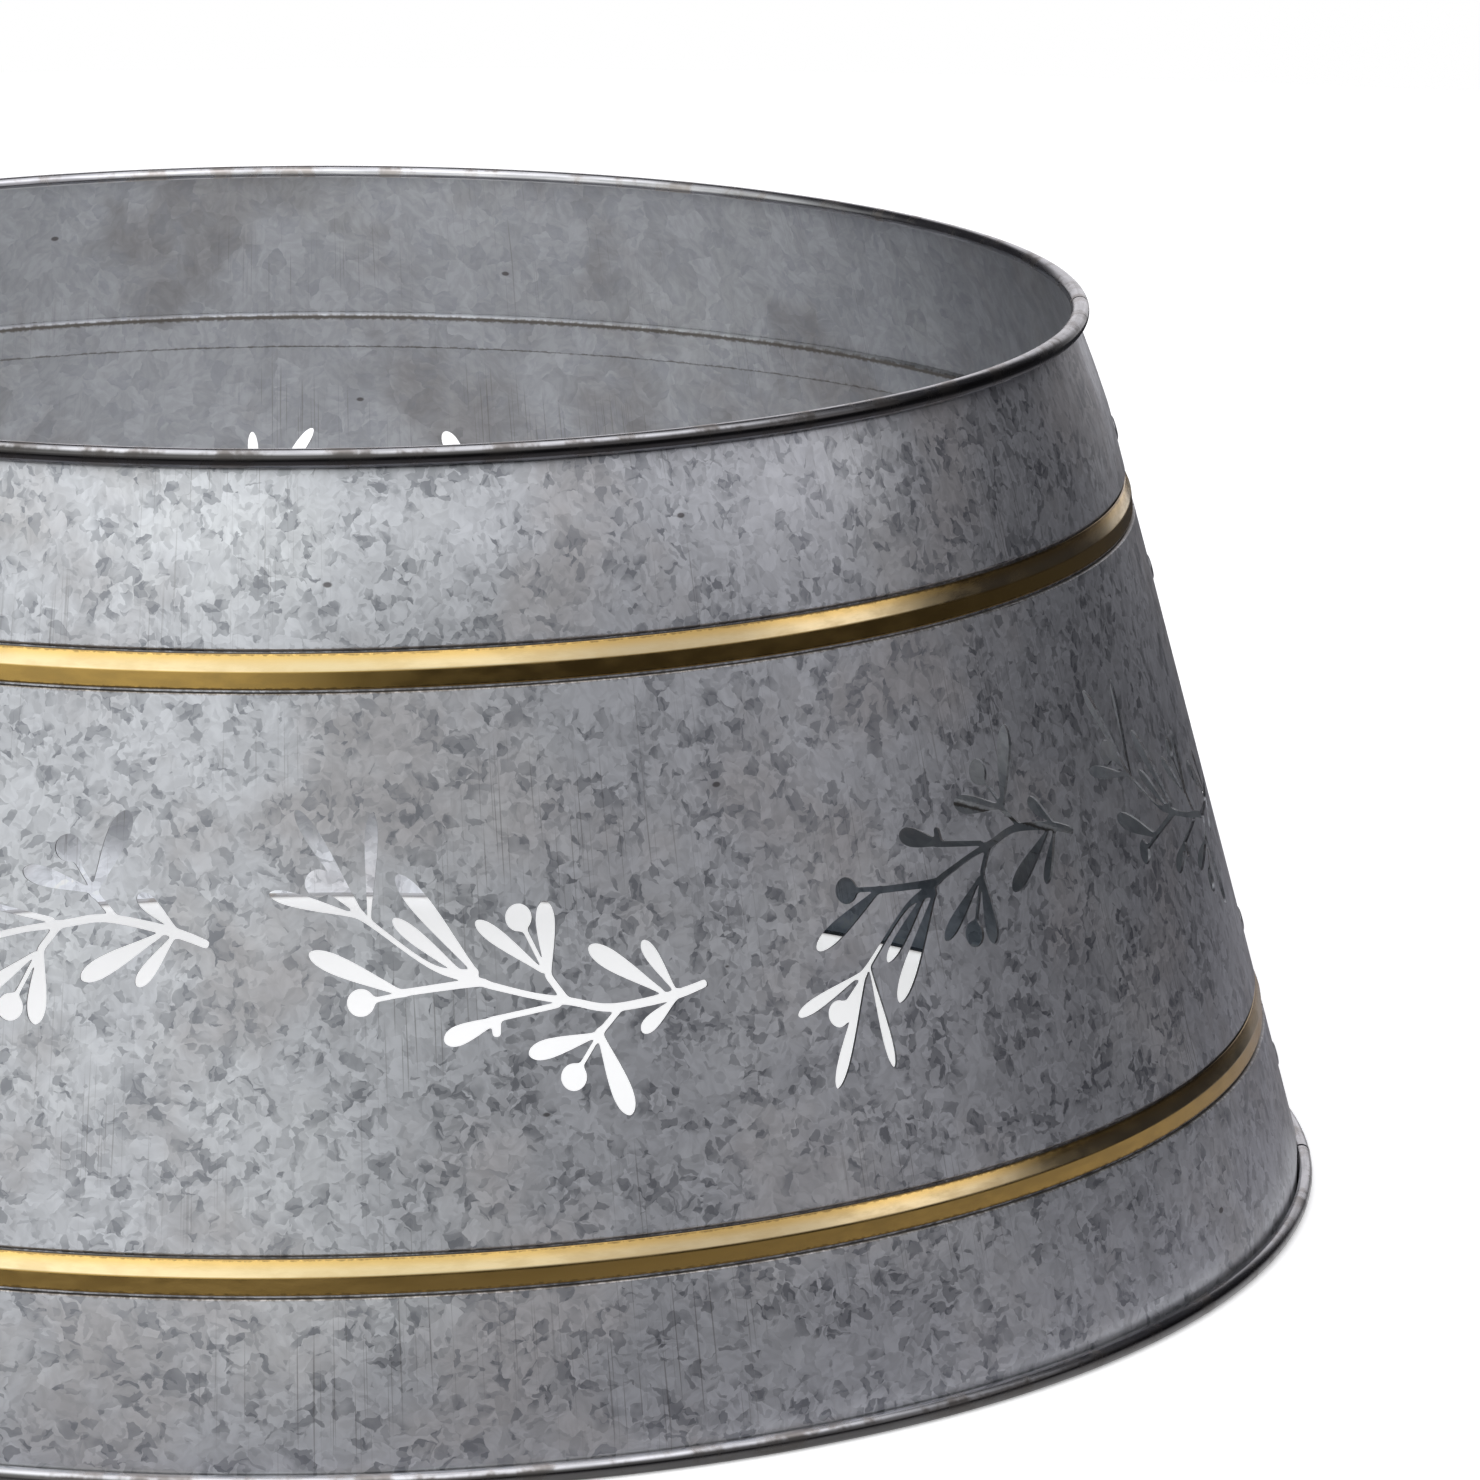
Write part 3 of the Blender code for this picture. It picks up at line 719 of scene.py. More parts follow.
def band_section(cone, place):
    """A flat-backed strip with two slanted faces that meet in a soft crease."""
    back = -CHANNEL_DEPTH + cone.sheet / 2 + SEAT_GAP
    half = cone.band_half
    edge = back + BAND_EDGE
    ridge = edge + BAND_CROWN
    dropped = BAND_CROWN * BAND_CREASE / half
    lip = BAND_EDGE * BAND_LIP_SHARE
    run, climb = half - lip - BAND_CREASE, ridge - dropped - edge
    lower = [
        (-half + lip, back),
        (-half, back + lip),
        (-half, edge - lip),
        (-half + lip, edge),
        (-half + lip + run * FACET_HOLD_SHARE, edge + climb * FACET_HOLD_SHARE),
        (-BAND_CREASE - run * FACET_HOLD_SHARE, edge + climb * (1 - FACET_HOLD_SHARE)),
        (-BAND_CREASE, ridge - dropped),
        (-BAND_CREASE * CREASE_RUN_SHARE, ridge - dropped * CREASE_EASE_SHARE),
    ]
    upper = [(-along, out) for along, out in lower[::-1]]
    return [(place + along, out) for along, out in lower + upper]


def wire_section(place, centre_out):
    """The round wire in the middle of a rolled rim."""
    turns = [math.tau * side / WIRE_SIDES for side in range(WIRE_SIDES)]
    return [(place + WIRE_RADIUS * math.sin(turn), centre_out + WIRE_RADIUS * math.cos(turn))
            for turn in turns]


def input_socket(tree, name, kind, default=None):
    """A named input of a node group, with its default."""
    socket = tree.interface.new_socket(name, in_out="INPUT", socket_type=kind)
    if default is not None:
        socket.default_value = default
    return socket


def wire(tree, node_type, operation=None, **inputs):
    """Add a node and connect or set its inputs, given by name or as i0, i1 and so on."""
    node = tree.nodes.new(node_type)
    if operation:
        node.operation = operation
    for key, value in inputs.items():
        target = node.inputs[int(key[1:])] if key[1:].isdigit() else node.inputs[key]
        if isinstance(value, bpy.types.NodeSocket):
            tree.links.new(value, target)
        else:
            target.default_value = value
    return node


def maths(tree, operation, *terms):
    """The result of a Math node on sockets or numbers."""
    return wire(tree, "ShaderNodeMath", operation,
                **{f"i{index}": term for index, term in enumerate(terms)}).outputs[0]


def vector_maths(tree, operation, *terms):
    """The vector that a Vector Math node gives."""
    return wire(tree, "ShaderNodeVectorMath", operation,
                **{f"i{index}": term for index, term in enumerate(terms)}).outputs[0]


def parted(tree, vector):
    """The three parts of a vector, as sockets."""
    return wire(tree, "ShaderNodeSeparateXYZ", i0=vector).outputs


def cone_nodes(tree, group, place):
    """Nodes that turn a place on the flat pattern into a place on the cone."""
    x, along, out = parted(tree, place)
    sine = maths(tree, "SINE", group.outputs["Taper"])
    cosine = maths(tree, "COSINE", group.outputs["Taper"])
    angle = maths(tree, "DIVIDE", x, group.outputs["Pattern radius"])
    drawn_in = maths(tree, "SUBTRACT", group.outputs["Base radius"],
                     maths(tree, "MULTIPLY", along, sine))
    radius = maths(tree, "ADD", drawn_in, maths(tree, "MULTIPLY", out, cosine))
    climbed = maths(tree, "ADD", group.outputs["Base height"],
                    maths(tree, "MULTIPLY", along, cosine))
    height = maths(tree, "ADD", climbed, maths(tree, "MULTIPLY", out, sine))
    rolled = wire(tree, "ShaderNodeCombineXYZ",
                  i0=maths(tree, "MULTIPLY", radius, maths(tree, "COSINE", angle)),
                  i1=maths(tree, "MULTIPLY", radius, maths(tree, "SINE", angle)), i2=height)
    return rolled.outputs[0], angle


def cone_tree(name):
    """A new tree with the inputs that describe the cone, and its two end nodes."""
    tree = bpy.data.node_groups.new(name, "GeometryNodeTree")
    input_socket(tree, "Geometry", "NodeSocketGeometry")
    input_socket(tree, "Base radius", "NodeSocketFloat", 0.3255)
    input_socket(tree, "Base height", "NodeSocketFloat", 0.0029)
    input_socket(tree, "Taper", "NodeSocketFloat", 0.266)
    input_socket(tree, "Pattern radius", "NodeSocketFloat", 0.29)
    input_socket(tree, "Finish", "NodeSocketMaterial")
    tree.interface.new_socket("Geometry", in_out="OUTPUT", socket_type="NodeSocketGeometry")
    return tree, tree.nodes.new("NodeGroupInput"), tree.nodes.new("NodeGroupOutput")


def finish_tree(tree, group, end, geometry):
    """End a tree in Realize Instances and Set Material."""
    real = wire(tree, "GeometryNodeRealizeInstances", Geometry=geometry)
    painted = wire(tree, "GeometryNodeSetMaterial", Geometry=real.outputs[0],
                   Material=group.outputs["Finish"])
    tree.links.new(painted.outputs[0], end.inputs[0])


def rolling_tree():
    """Geometry Nodes that roll a flat pattern round the cone."""
    name = "Roll round the cone"
    if name in bpy.data.node_groups:
        return bpy.data.node_groups[name]
    tree, group, end = cone_tree(name)
    place = tree.nodes.new("GeometryNodeInputPosition").outputs[0]
    rolled, _ = cone_nodes(tree, group, place)
    moved = wire(tree, "GeometryNodeSetPosition", Geometry=group.outputs["Geometry"],
                 Position=rolled)
    finish_tree(tree, group, end, moved.outputs[0])
    return tree


def fastening_tree():
    """Geometry Nodes that set one fastener on each point, square to the cone."""
    name = "Set fasteners on the cone"
    if name in bpy.data.node_groups:
        return bpy.data.node_groups[name]
    tree, group, end = cone_tree(name)
    input_socket(tree, "Fastener", "NodeSocketObject")
    input_socket(tree, "Most turn", "NodeSocketFloat", 0.0)
    input_socket(tree, "Seed", "NodeSocketInt", 0)
    place = tree.nodes.new("GeometryNodeInputPosition").outputs[0]
    rolled, angle = cone_nodes(tree, group, place)
    tilt = maths(tree, "SUBTRACT", math.pi / 2, group.outputs["Taper"])
    heading = maths(tree, "ADD", angle, math.pi / 2)
    facing = wire(tree, "ShaderNodeCombineXYZ", i0=tilt, i2=heading)
    capture = tree.nodes.new("GeometryNodeCaptureAttribute")
    capture.capture_items.new("VECTOR", "Facing")
    tree.links.new(group.outputs["Geometry"], capture.inputs[0])
    tree.links.new(facing.outputs[0], capture.inputs[1])
    moved = wire(tree, "GeometryNodeSetPosition", Geometry=capture.outputs[0], Position=rolled)
    fastener = wire(tree, "GeometryNodeObjectInfo", Object=group.outputs["Fastener"])
    placed = wire(tree, "GeometryNodeInstanceOnPoints", Points=moved.outputs[0],
                  Instance=fastener.outputs["Geometry"], Rotation=capture.outputs[1])
    chance = tree.nodes.new("FunctionNodeRandomValue")
    chance.data_type = "FLOAT"
    tree.links.new(group.outputs["Most turn"], chance.inputs[3])
    tree.links.new(group.outputs["Seed"], chance.inputs["Seed"])
    spin = wire(tree, "ShaderNodeCombineXYZ", i2=chance.outputs[1])
    turned = wire(tree, "GeometryNodeRotateInstances", Instances=placed.outputs[0],
                  Rotation=spin.outputs[0])
    finish_tree(tree, group, end, turned.outputs[0])
    return tree


def new_object(name, mesh):
    """Link a new object that stands at the origin."""
    made = bpy.data.objects.new(name, mesh)
    bpy.context.scene.collection.objects.link(made)
    return made


def apply_tree(source, name, tree, cone, finish, **extra):
    """Run a tree on a mesh, and return the result as a plain object."""
    drawn = new_object(name + ".drawn", source)
    modifier = drawn.modifiers.new(tree.name, "NODES")
    modifier.node_group = tree
    values = {"Base radius": cone.base_radius, "Base height": cone.base_height,
              "Taper": cone.taper, "Pattern radius": cone.pattern_radius,
              "Finish": finish, **extra}
    for item in tree.interface.items_tree:
        if item.item_type == "SOCKET" and item.in_out == "INPUT" and item.name in values:
            modifier[item.identifier] = values[item.name]
    return plain(drawn, name)


def plain(source, name):
    """Turn an object with its modifiers into a plain mesh object, and remove it."""
    graph = bpy.context.evaluated_depsgraph_get()
    mesh = bpy.data.meshes.new_from_object(source.evaluated_get(graph),
                                           preserve_all_data_layers=True, depsgraph=graph)
    old = source.data
    bpy.data.objects.remove(source)
    if old.users == 0:
        bpy.data.meshes.remove(old)
    mesh.name = name
    return new_object(name, mesh)


def mesh_of(shape, name):
    """Turn a bmesh into a mesh and free it."""
    made = bpy.data.meshes.new(name)
    shape.to_mesh(made)
    shape.free()
    return made


def settle(piece, nodes, finishes=None):
    """Shade a finished piece, give it its finishes, and tie it to the frame."""
    if finishes:
        piece.data.materials.clear()
        for finish in finishes:
            piece.data.materials.append(finish)
    piece.data.shade_smooth()
    piece.data.set_sharp_from_angle(angle=SHARP_ANGLE)
    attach(piece, BODY)
    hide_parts(*nodes)


# Shader helpers and node groups

def shader(name):
    """A new material with a Principled shader, as (material, tree, shader)."""
    made = bpy.data.materials.new(name)
    made.use_nodes = True
    return made, made.node_tree, made.node_tree.nodes["Principled BSDF"]


def scaled(tree, vector, factor):
    """A vector or colour made longer or shorter by a factor."""
    return wire(tree, "ShaderNodeVectorMath", "SCALE", i0=vector, Scale=factor).outputs[0]


def dotted(tree, first, second):
    """The dot product of two vectors."""
    return wire(tree, "ShaderNodeVectorMath", "DOT_PRODUCT", i0=first, i1=second).outputs[1]


def eased(tree, value, low, high, to_low=0.0, to_high=1.0):
    """A value mapped smoothly from one range to another."""
    node = tree.nodes.new("ShaderNodeMapRange")
    node.interpolation_type = "SMOOTHSTEP"
    for socket, given in zip(node.inputs, (value, low, high, to_low, to_high)):
        if isinstance(given, bpy.types.NodeSocket):
            tree.links.new(given, socket)
        else:
            socket.default_value = given
    return node.outputs[0]


def blended(tree, factor, first, second, blend="MIX"):
    """Two colours mixed by a factor; each is a socket or a colour."""
    node = tree.nodes.new("ShaderNodeMix")
    node.data_type = "RGBA"
    node.blend_type = blend
    for index, given in ((0, factor), (6, first), (7, second)):
        if isinstance(given, bpy.types.NodeSocket):
            tree.links.new(given, node.inputs[index])
        elif index:
            node.inputs[index].default_value = (*given[:3], 1.0)
        else:
            node.inputs[index].default_value = given
    return node.outputs[2]


def noise(tree, place, scale, detail=2.0, roughness=0.5):
    """A 2D noise value over a place."""
    node = wire(tree, "ShaderNodeTexNoise", Scale=scale, Detail=detail, Roughness=roughness)
    node.noise_dimensions = "2D"
    tree.links.new(place, node.inputs["Vector"])
    return node.outputs[0]


def shards(tree, place, scale, metric="EUCLIDEAN"):
    """A node of straight-sided cells over a place: distance and colour of each cell."""
    node = wire(tree, "ShaderNodeTexVoronoi", Scale=scale)
    node.voronoi_dimensions = "2D"
    node.distance = metric
    tree.links.new(place, node.inputs["Vector"])
    return node


def cell_chances(tree, cells):
    """Three chance values of each cell, as sockets."""
    return wire(tree, "ShaderNodeSeparateColor", i0=cells.outputs["Color"]).outputs


def group_tree(name, inputs, outputs):
    """A new shader node group with named inputs and outputs, and its two end nodes."""
    tree = bpy.data.node_groups.new(name, "ShaderNodeTree")
    for label, kind, default in inputs:
        input_socket(tree, label, kind, default)
    for label, kind in outputs:
        tree.interface.new_socket(label, in_out="OUTPUT", socket_type=kind)
    return tree, tree.nodes.new("NodeGroupInput"), tree.nodes.new("NodeGroupOutput")


def use_group(tree, build, **inputs):
    """Put a node group, built on first use, into a tree and set its inputs by name."""
    node = tree.nodes.new("ShaderNodeGroup")
    node.node_tree = build()
    for key, value in inputs.items():
        socket = node.inputs[key.replace("_", " ")]
        if isinstance(value, bpy.types.NodeSocket):
            tree.links.new(value, socket)
        else:
            socket.default_value = value
    return node


def spangle_group():
    """Zinc spangle: polygonal grains, and angular dark flecks turned with their grain."""
    name = "Zinc spangle"
    if name in bpy.data.node_groups:
        return bpy.data.node_groups[name]
    tree, group, end = group_tree(
        name,
        (("Place", "NodeSocketVector", None), ("Grain size", "NodeSocketFloat", 0.006),
         ("Fleck size", "NodeSocketFloat", 0.0022), ("Cover", "NodeSocketFloat", 0.4)),
        (("Flecks", "NodeSocketFloat"), ("Grain", "NodeSocketFloat"),
         ("Streak", "NodeSocketFloat")))
    place = group.outputs["Place"]
    grains_per_metre = maths(tree, "DIVIDE", 1.0, group.outputs["Grain size"])
    wobble = wire(tree, "ShaderNodeTexNoise", Scale=WOBBLES_PER_METRE, Detail=2.0)
    tree.links.new(place, wobble.inputs["Vector"])
    centred = vector_maths(tree, "SUBTRACT", wobble.outputs["Color"], (0.5, 0.5, 0.5))
    warped = vector_maths(tree, "ADD", place, scaled(tree, centred, WOBBLE_REACH))
    chance = cell_chances(tree, shards(tree, warped, grains_per_metre))
    turn = maths(tree, "MULTIPLY", chance[0], math.pi)
    turned = wire(tree, "ShaderNodeVectorRotate", Vector=warped, Angle=turn)
    turned.rotation_type = "Z_AXIS"
    long = vector_maths(tree, "MULTIPLY", turned.outputs[0], FLECK_STRETCH)
    flecks_per_metre = maths(tree, "DIVIDE", 1.0, group.outputs["Fleck size"])
    coarse = shards(tree, long, flecks_per_metre, "MANHATTAN")
    fine = shards(tree, long, maths(tree, "MULTIPLY", flecks_per_metre, FINE_FLECK_RATIO),
                  "MANHATTAN")
    cluster = eased(tree, noise(tree, place, CLUSTERS_PER_METRE, 3.0, 0.6), *CLUSTER_RANGE)
    cover = maths(tree, "ADD", group.outputs["Cover"], cluster)
    drift = maths(tree, "ADD", cover, maths(tree, "MULTIPLY", chance[1], GRAIN_DRIFT))
    big, small = [eased(tree, maths(tree, "SUBTRACT", drift, cell_chances(tree, cells)[1]),
                        0.0, FLECK_SOFTNESS) for cells in (coarse, fine)]
    both = maths(tree, "ADD", maths(tree, "MULTIPLY", big, BIG_FLECK_WEIGHT),
                 maths(tree, "MULTIPLY", small, SMALL_FLECK_WEIGHT))
    streak = noise(tree, vector_maths(tree, "MULTIPLY", turned.outputs[0], STREAK_STRETCH),
                   STREAKS_PER_METRE, 2.0)
    tree.links.new(both, end.inputs["Flecks"])
    tree.links.new(chance[2], end.inputs["Grain"])
    tree.links.new(streak, end.inputs["Streak"])
    return tree


def scratch_group():
    """Fine scratches that run up the wall, in loose bunches."""
    name = "Rolling scratches"
    if name in bpy.data.node_groups:
        return bpy.data.node_groups[name]
    tree, group, end = group_tree(
        name, (("Place", "NodeSocketVector", None), ("Amount", "NodeSocketFloat", 0.5)),
        (("Scratches", "NodeSocketFloat"),))
    place = group.outputs["Place"]
    drawn = vector_maths(tree, "MULTIPLY", place, SCRATCH_STRETCH)
    lines = eased(tree, noise(tree, drawn, SCRATCHES_PER_METRE, 1.0), 0.66, 0.76)
    bunch = eased(tree, noise(tree, place, BUNCHES_PER_METRE, 2.0), 0.45, 0.7)
    amount = maths(tree, "MULTIPLY", maths(tree, "MULTIPLY", lines, bunch),
                   group.outputs["Amount"])
    tree.links.new(amount, end.inputs["Scratches"])
    return tree


def cloud_group():
    """Broad cloudy stains, and a few small dark marks."""
    name = "Clouds and marks"
    if name in bpy.data.node_groups:
        return bpy.data.node_groups[name]
    tree, group, end = group_tree(
        name, (("Place", "NodeSocketVector", None), ("Cloud size", "NodeSocketFloat", 0.08)),
        (("Warm", "NodeSocketFloat"), ("Pale", "NodeSocketFloat"), ("Marks", "NodeSocketFloat")))
    place = group.outputs["Place"]
    per_metre = maths(tree, "DIVIDE", 1.0, group.outputs["Cloud size"])
    shifted = vector_maths(tree, "ADD", place, PALE_CLOUD_SHIFT)
    warm = eased(tree, noise(tree, place, per_metre, 4.0, 0.62), 0.46, 0.68)
    pale = eased(tree, noise(tree, shifted, per_metre, 4.0, 0.65), 0.48, 0.7)
    long = vector_maths(tree, "MULTIPLY", place, MARK_STRETCH)
    spots = shards(tree, long, MARKS_PER_METRE)
    size = eased(tree, cell_chances(tree, spots)[0], 0.82, 1.0, 0.0, LARGEST_MARK)
    marks = eased(tree, maths(tree, "SUBTRACT", size, spots.outputs["Distance"]), -0.004, 0.01)
    tree.links.new(warm, end.inputs["Warm"])
    tree.links.new(pale, end.inputs["Pale"])
    tree.links.new(marks, end.inputs["Marks"])
    return tree


def pattern_place(tree, shift=(0.0, 0.0, 0.0)):
    """The place on the flat pattern, in metres, moved aside by a shift."""
    source = tree.nodes.new("ShaderNodeUVMap")
    source.uv_map = "pattern"
    return vector_maths(tree, "ADD", source.outputs[0], shift)


def crevice_shade_group():
    """Ragged painted shade along both edges of a band that lies at a height on the pattern, where
    its crevices are.
    """
    name = "Edge grime"
    if name in bpy.data.node_groups:
        return bpy.data.node_groups[name]
    tree, group, end = group_tree(
        name,
        (("Place", "NodeSocketVector", None), ("Height", "NodeSocketFloat", 0.0),
         ("Half", "NodeSocketFloat", 0.005), ("Reach", "NodeSocketFloat", 0.001)),
        (("Crevice shade", "NodeSocketFloat"),))
    place = group.outputs["Place"]
    climb = parted(tree, place)[1]
    away = maths(tree, "ABSOLUTE", maths(tree, "SUBTRACT", climb, group.outputs["Height"]))
    past = maths(tree, "SUBTRACT", away, group.outputs["Half"])
    ragged = eased(tree, noise(tree, place, RAGGED_SHADE_PER_METRE, 4.0, 0.65), 0.3, 0.7, 0.4, 1.0)
    reach = maths(tree, "MULTIPLY", group.outputs["Reach"], ragged)
    near = maths(tree, "DIVIDE", maths(tree, "ABSOLUTE", past), reach)
    tree.links.new(eased(tree, near, 1.0, 0.25), end.inputs["Crevice shade"])
    return tree


def zinc(name, look, cone, painted_light_by_height, flecking, metallic, roughness, grain_size, shift):
    """Galvanised sheet: spangle, clouds, scratches and marks over a zinc ground.

    The colour is painted lighter or darker up the foot as painted light and shade, and
    ragged painted shade lies along the edges of the bands' channels.
    """
    made, tree, surface = shader(name)
    still = pattern_place(tree)
    place = pattern_place(tree, shift)
    spangle = use_group(tree, spangle_group, Place=place, Grain_size=grain_size,
                        Fleck_size=grain_size * FLECK_SHARE, Cover=FLECK_COVER)
    clouds = use_group(tree, cloud_group, Place=place)
    scratches = use_group(tree, scratch_group, Place=place, Amount=0.5).outputs[0]
    flecks = maths(tree, "MULTIPLY", spangle.outputs["Flecks"], flecking)
    ground = blended(tree, maths(tree, "MULTIPLY", clouds.outputs["Warm"], 0.7),
                     look.zinc_light, look.zinc_warm)
    lifted = blended(tree, maths(tree, "MULTIPLY", clouds.outputs["Pale"], 0.3), ground,
                     look.zinc_pale)
    grain = eased(tree, spangle.outputs["Grain"], 0.0, 1.0, 0.90, 1.05)
    streak = eased(tree, spangle.outputs["Streak"], 0.3, 0.7, 0.93, 1.06)
    # Painted light and shade by height: the foot lighter or darker than the wall above, the
    # inside a darker copy
    painted_light_factor = eased(tree, parted(tree, still)[1], *PAINTED_LIGHT_HEIGHTS, *painted_light_by_height)
    grain_and_painted_light = maths(tree, "MULTIPLY", maths(tree, "MULTIPLY", grain, streak), painted_light_factor)
    flecked = blended(tree, flecks, scaled(tree, lifted, grain_and_painted_light), look.zinc_dark)
    scratched = blended(tree, scratches, flecked, SCRATCHED)
    colour = blended(tree, maths(tree, "MULTIPLY", clouds.outputs["Marks"], 0.8), scratched,
                     MARKED)
    # Painted shade in the crevices along the edges of both channels
    for height in (cone.lower_band, cone.upper_band):
        crevice_shade = use_group(tree, crevice_shade_group, Place=still, Height=height,
                          Half=cone.channel_floor, Reach=CHANNEL_SHADE_REACH).outputs[0]
        colour = blended(tree, maths(tree, "MULTIPLY", crevice_shade, 0.85), colour, CHANNEL_SHADE)
    tree.links.new(colour, surface.inputs["Base Color"])
    surface.inputs["Metallic"].default_value = metallic
    dull = maths(tree, "ADD", maths(tree, "MULTIPLY", flecks, -0.08), roughness)
    tree.links.new(maths(tree, "ADD", dull, maths(tree, "MULTIPLY", clouds.outputs["Warm"], 0.1)),
                   surface.inputs["Roughness"])
    bump = wire(tree, "ShaderNodeBump", Strength=BUMP_STRENGTH, Distance=BUMP_DEPTH,
                Height=noise(tree, place, BUMPS_PER_METRE, 2.0))
    tree.links.new(bump.outputs[0], surface.inputs["Normal"])
    return made


def gilding(name, look, heights, half):
    """Gilt strip: satin gold with a painted highlight, paler on its upward faces up to its ridge,
    and painted shade gathered at its edges.
    """
    made, tree, surface = shader(name)
    place = pattern_place(tree)
    rubbed = noise(tree, vector_maths(tree, "MULTIPLY", place, RUB_STRETCH), RUBS_PER_METRE,
                   4.0, 0.6)
    worn = eased(tree, rubbed, 0.35, 0.7, 0.0, 1.0)
    facing = tree.nodes.new("ShaderNodeTexCoord").outputs["Normal"]
    # Painted highlight: upward faces, most near the ridge, are painted toward the pale gilt
    lit = eased(tree, parted(tree, facing)[2], 0.16, 0.34)
    climb = parted(tree, place)[1]
    away = [maths(tree, "ABSOLUTE", maths(tree, "SUBTRACT", climb, height)) for height in heights]
    ridge = eased(tree, maths(tree, "MINIMUM", *away), half * 0.95, half * 0.25, 0.15, 1.0)
    highlighted_gilt = blended(tree, maths(tree, "MULTIPLY", lit, ridge), look.gilt, look.gilt_highlight)
    colour = blended(tree, maths(tree, "MULTIPLY", worn, 0.3), highlighted_gilt, WORN_GILT)
    # Painted shade in the crevices along both edges of the band
    for height in heights:
        crevice_shade = use_group(tree, crevice_shade_group, Place=place, Height=height, Half=half,
                          Reach=GILT_EDGE_SHADE_REACH).outputs[0]
        colour = blended(tree, maths(tree, "MULTIPLY", crevice_shade, 0.75), colour, GILT_EDGE_SHADE)
    tree.links.new(colour, surface.inputs["Base Color"])
    surface.inputs["Metallic"].default_value = 1.0
    tree.links.new(eased(tree, rubbed, 0.3, 0.7, 0.14, 0.24), surface.inputs["Roughness"])
    return made


def bright_steel(name, colour, roughness, warmth, underside_shade):
    """Drawn or rolled steel, streaked along its length, with painted shade on its outer, lower
    side.
    """
    made, tree, surface = shader(name)
    place = pattern_place(tree, DRAWN_SHIFT)
    drawn = vector_maths(tree, "MULTIPLY", place, DRAWN_STRETCH)
    streaks = eased(tree, noise(tree, drawn, DRAWN_PER_METRE, 3.0), 0.3, 0.7, 0.82, 1.14)
    blotches = eased(tree, noise(tree, place, BLOTCHES_PER_METRE, 4.0, 0.65), 0.45, 0.66,
                     0.0, 0.7)
    tinted = blended(tree, blotches, colour, warmth)
    toned = scaled(tree, tinted, streaks)
    around = tree.nodes.new("ShaderNodeTexCoord").outputs
    facing = around["Normal"]
    # Painted shade on the outer faces that look down, ragged with the blotches
    outer = eased(tree, dotted(tree, facing, around["Object"]), 0.0, 0.08, 0.0, underside_shade)
    shaded_underside = eased(tree, maths(tree, "ADD", parted(tree, facing)[2],
                              maths(tree, "MULTIPLY", blotches, -0.25)), 0.86, 0.38, 0.0, outer)
    tree.links.new(blended(tree, shaded_underside, toned, UNDERSIDE_SHADE), surface.inputs["Base Color"])
    surface.inputs["Metallic"].default_value = 1.0
    tree.links.new(maths(tree, "ADD", maths(tree, "MULTIPLY", blotches, 0.18), roughness),
                   surface.inputs["Roughness"])
    return made


def plated_steel(name):
    """Bright zinc plating on the fasteners, a little cloudy and handled."""
    made, tree, surface = shader(name)
    place = tree.nodes.new("ShaderNodeTexCoord").outputs["Object"]
    cloudy = wire(tree, "ShaderNodeTexNoise", Scale=PLATING_PER_METRE, Detail=3.0,
                  Vector=place).outputs[0]
    tree.links.new(blended(tree, eased(tree, cloudy, 0.35, 0.65), PLATING_BRIGHT,
                           PLATING_CLOUDY), surface.inputs["Base Color"])
    surface.inputs["Metallic"].default_value = 1.0
    tree.links.new(eased(tree, cloudy, 0.3, 0.7, 0.22, 0.36), surface.inputs["Roughness"])
    return made


def soft_light_group():
    """How bright a soft light is in one direction, fading out from its middle."""
    name = "Soft light"
    if name in bpy.data.node_groups:
        return bpy.data.node_groups[name]
    tree, group, end = group_tree(
        name,
        (("Direction", "NodeSocketVector", None), ("Toward", "NodeSocketVector", None),
         ("Inner", "NodeSocketFloat", 0.9), ("Outer", "NodeSocketFloat", 0.5),
         ("Brightness", "NodeSocketFloat", 1.0)),
        (("Light", "NodeSocketFloat"),))
    facing = dotted(tree, group.outputs["Direction"], group.outputs["Toward"])
    light = eased(tree, facing, group.outputs["Outer"], group.outputs["Inner"], 0.0,
                  group.outputs["Brightness"])
    tree.links.new(light, end.inputs["Light"])
    return tree


# The studio's soft lights: azimuth and height of the middle, half angle of the full
# light, half angle where it has faded out (all in degrees), brightness, colour
SOFT_LIGHTS = (
    (-125, 30, 30, 70, 0.95, (1.0, 1.02, 1.0)),
    (-31, 42, 22, 42, 0.58, (0.99, 0.98, 1.01)),
    (-12, 16, 6, 17, 0.60, (1.0, 0.97, 1.0)),
    (-80, 82, 20, 48, 1.35, (0.99, 0.99, 1.02)),
)
LOW_LIGHTS = (
    (-125, 4, 18, 46, 0.42, (1.0, 1.0, 1.0)),
    (82, 4, 14, 34, 0.85, (1.0, 0.98, 1.01)),
)
AMBIENT = (0.026, 0.025, 0.029)
HORIZON_SHARE = 0.06
HAZE_HEIGHT = 0.08
CLEAR_HEIGHT = 0.36


def direction(azimuth, height):
    """A unit vector at an azimuth and a height, both in radians."""
    return (math.cos(azimuth) * math.cos(height), math.sin(azimuth) * math.cos(height),
            math.sin(height))


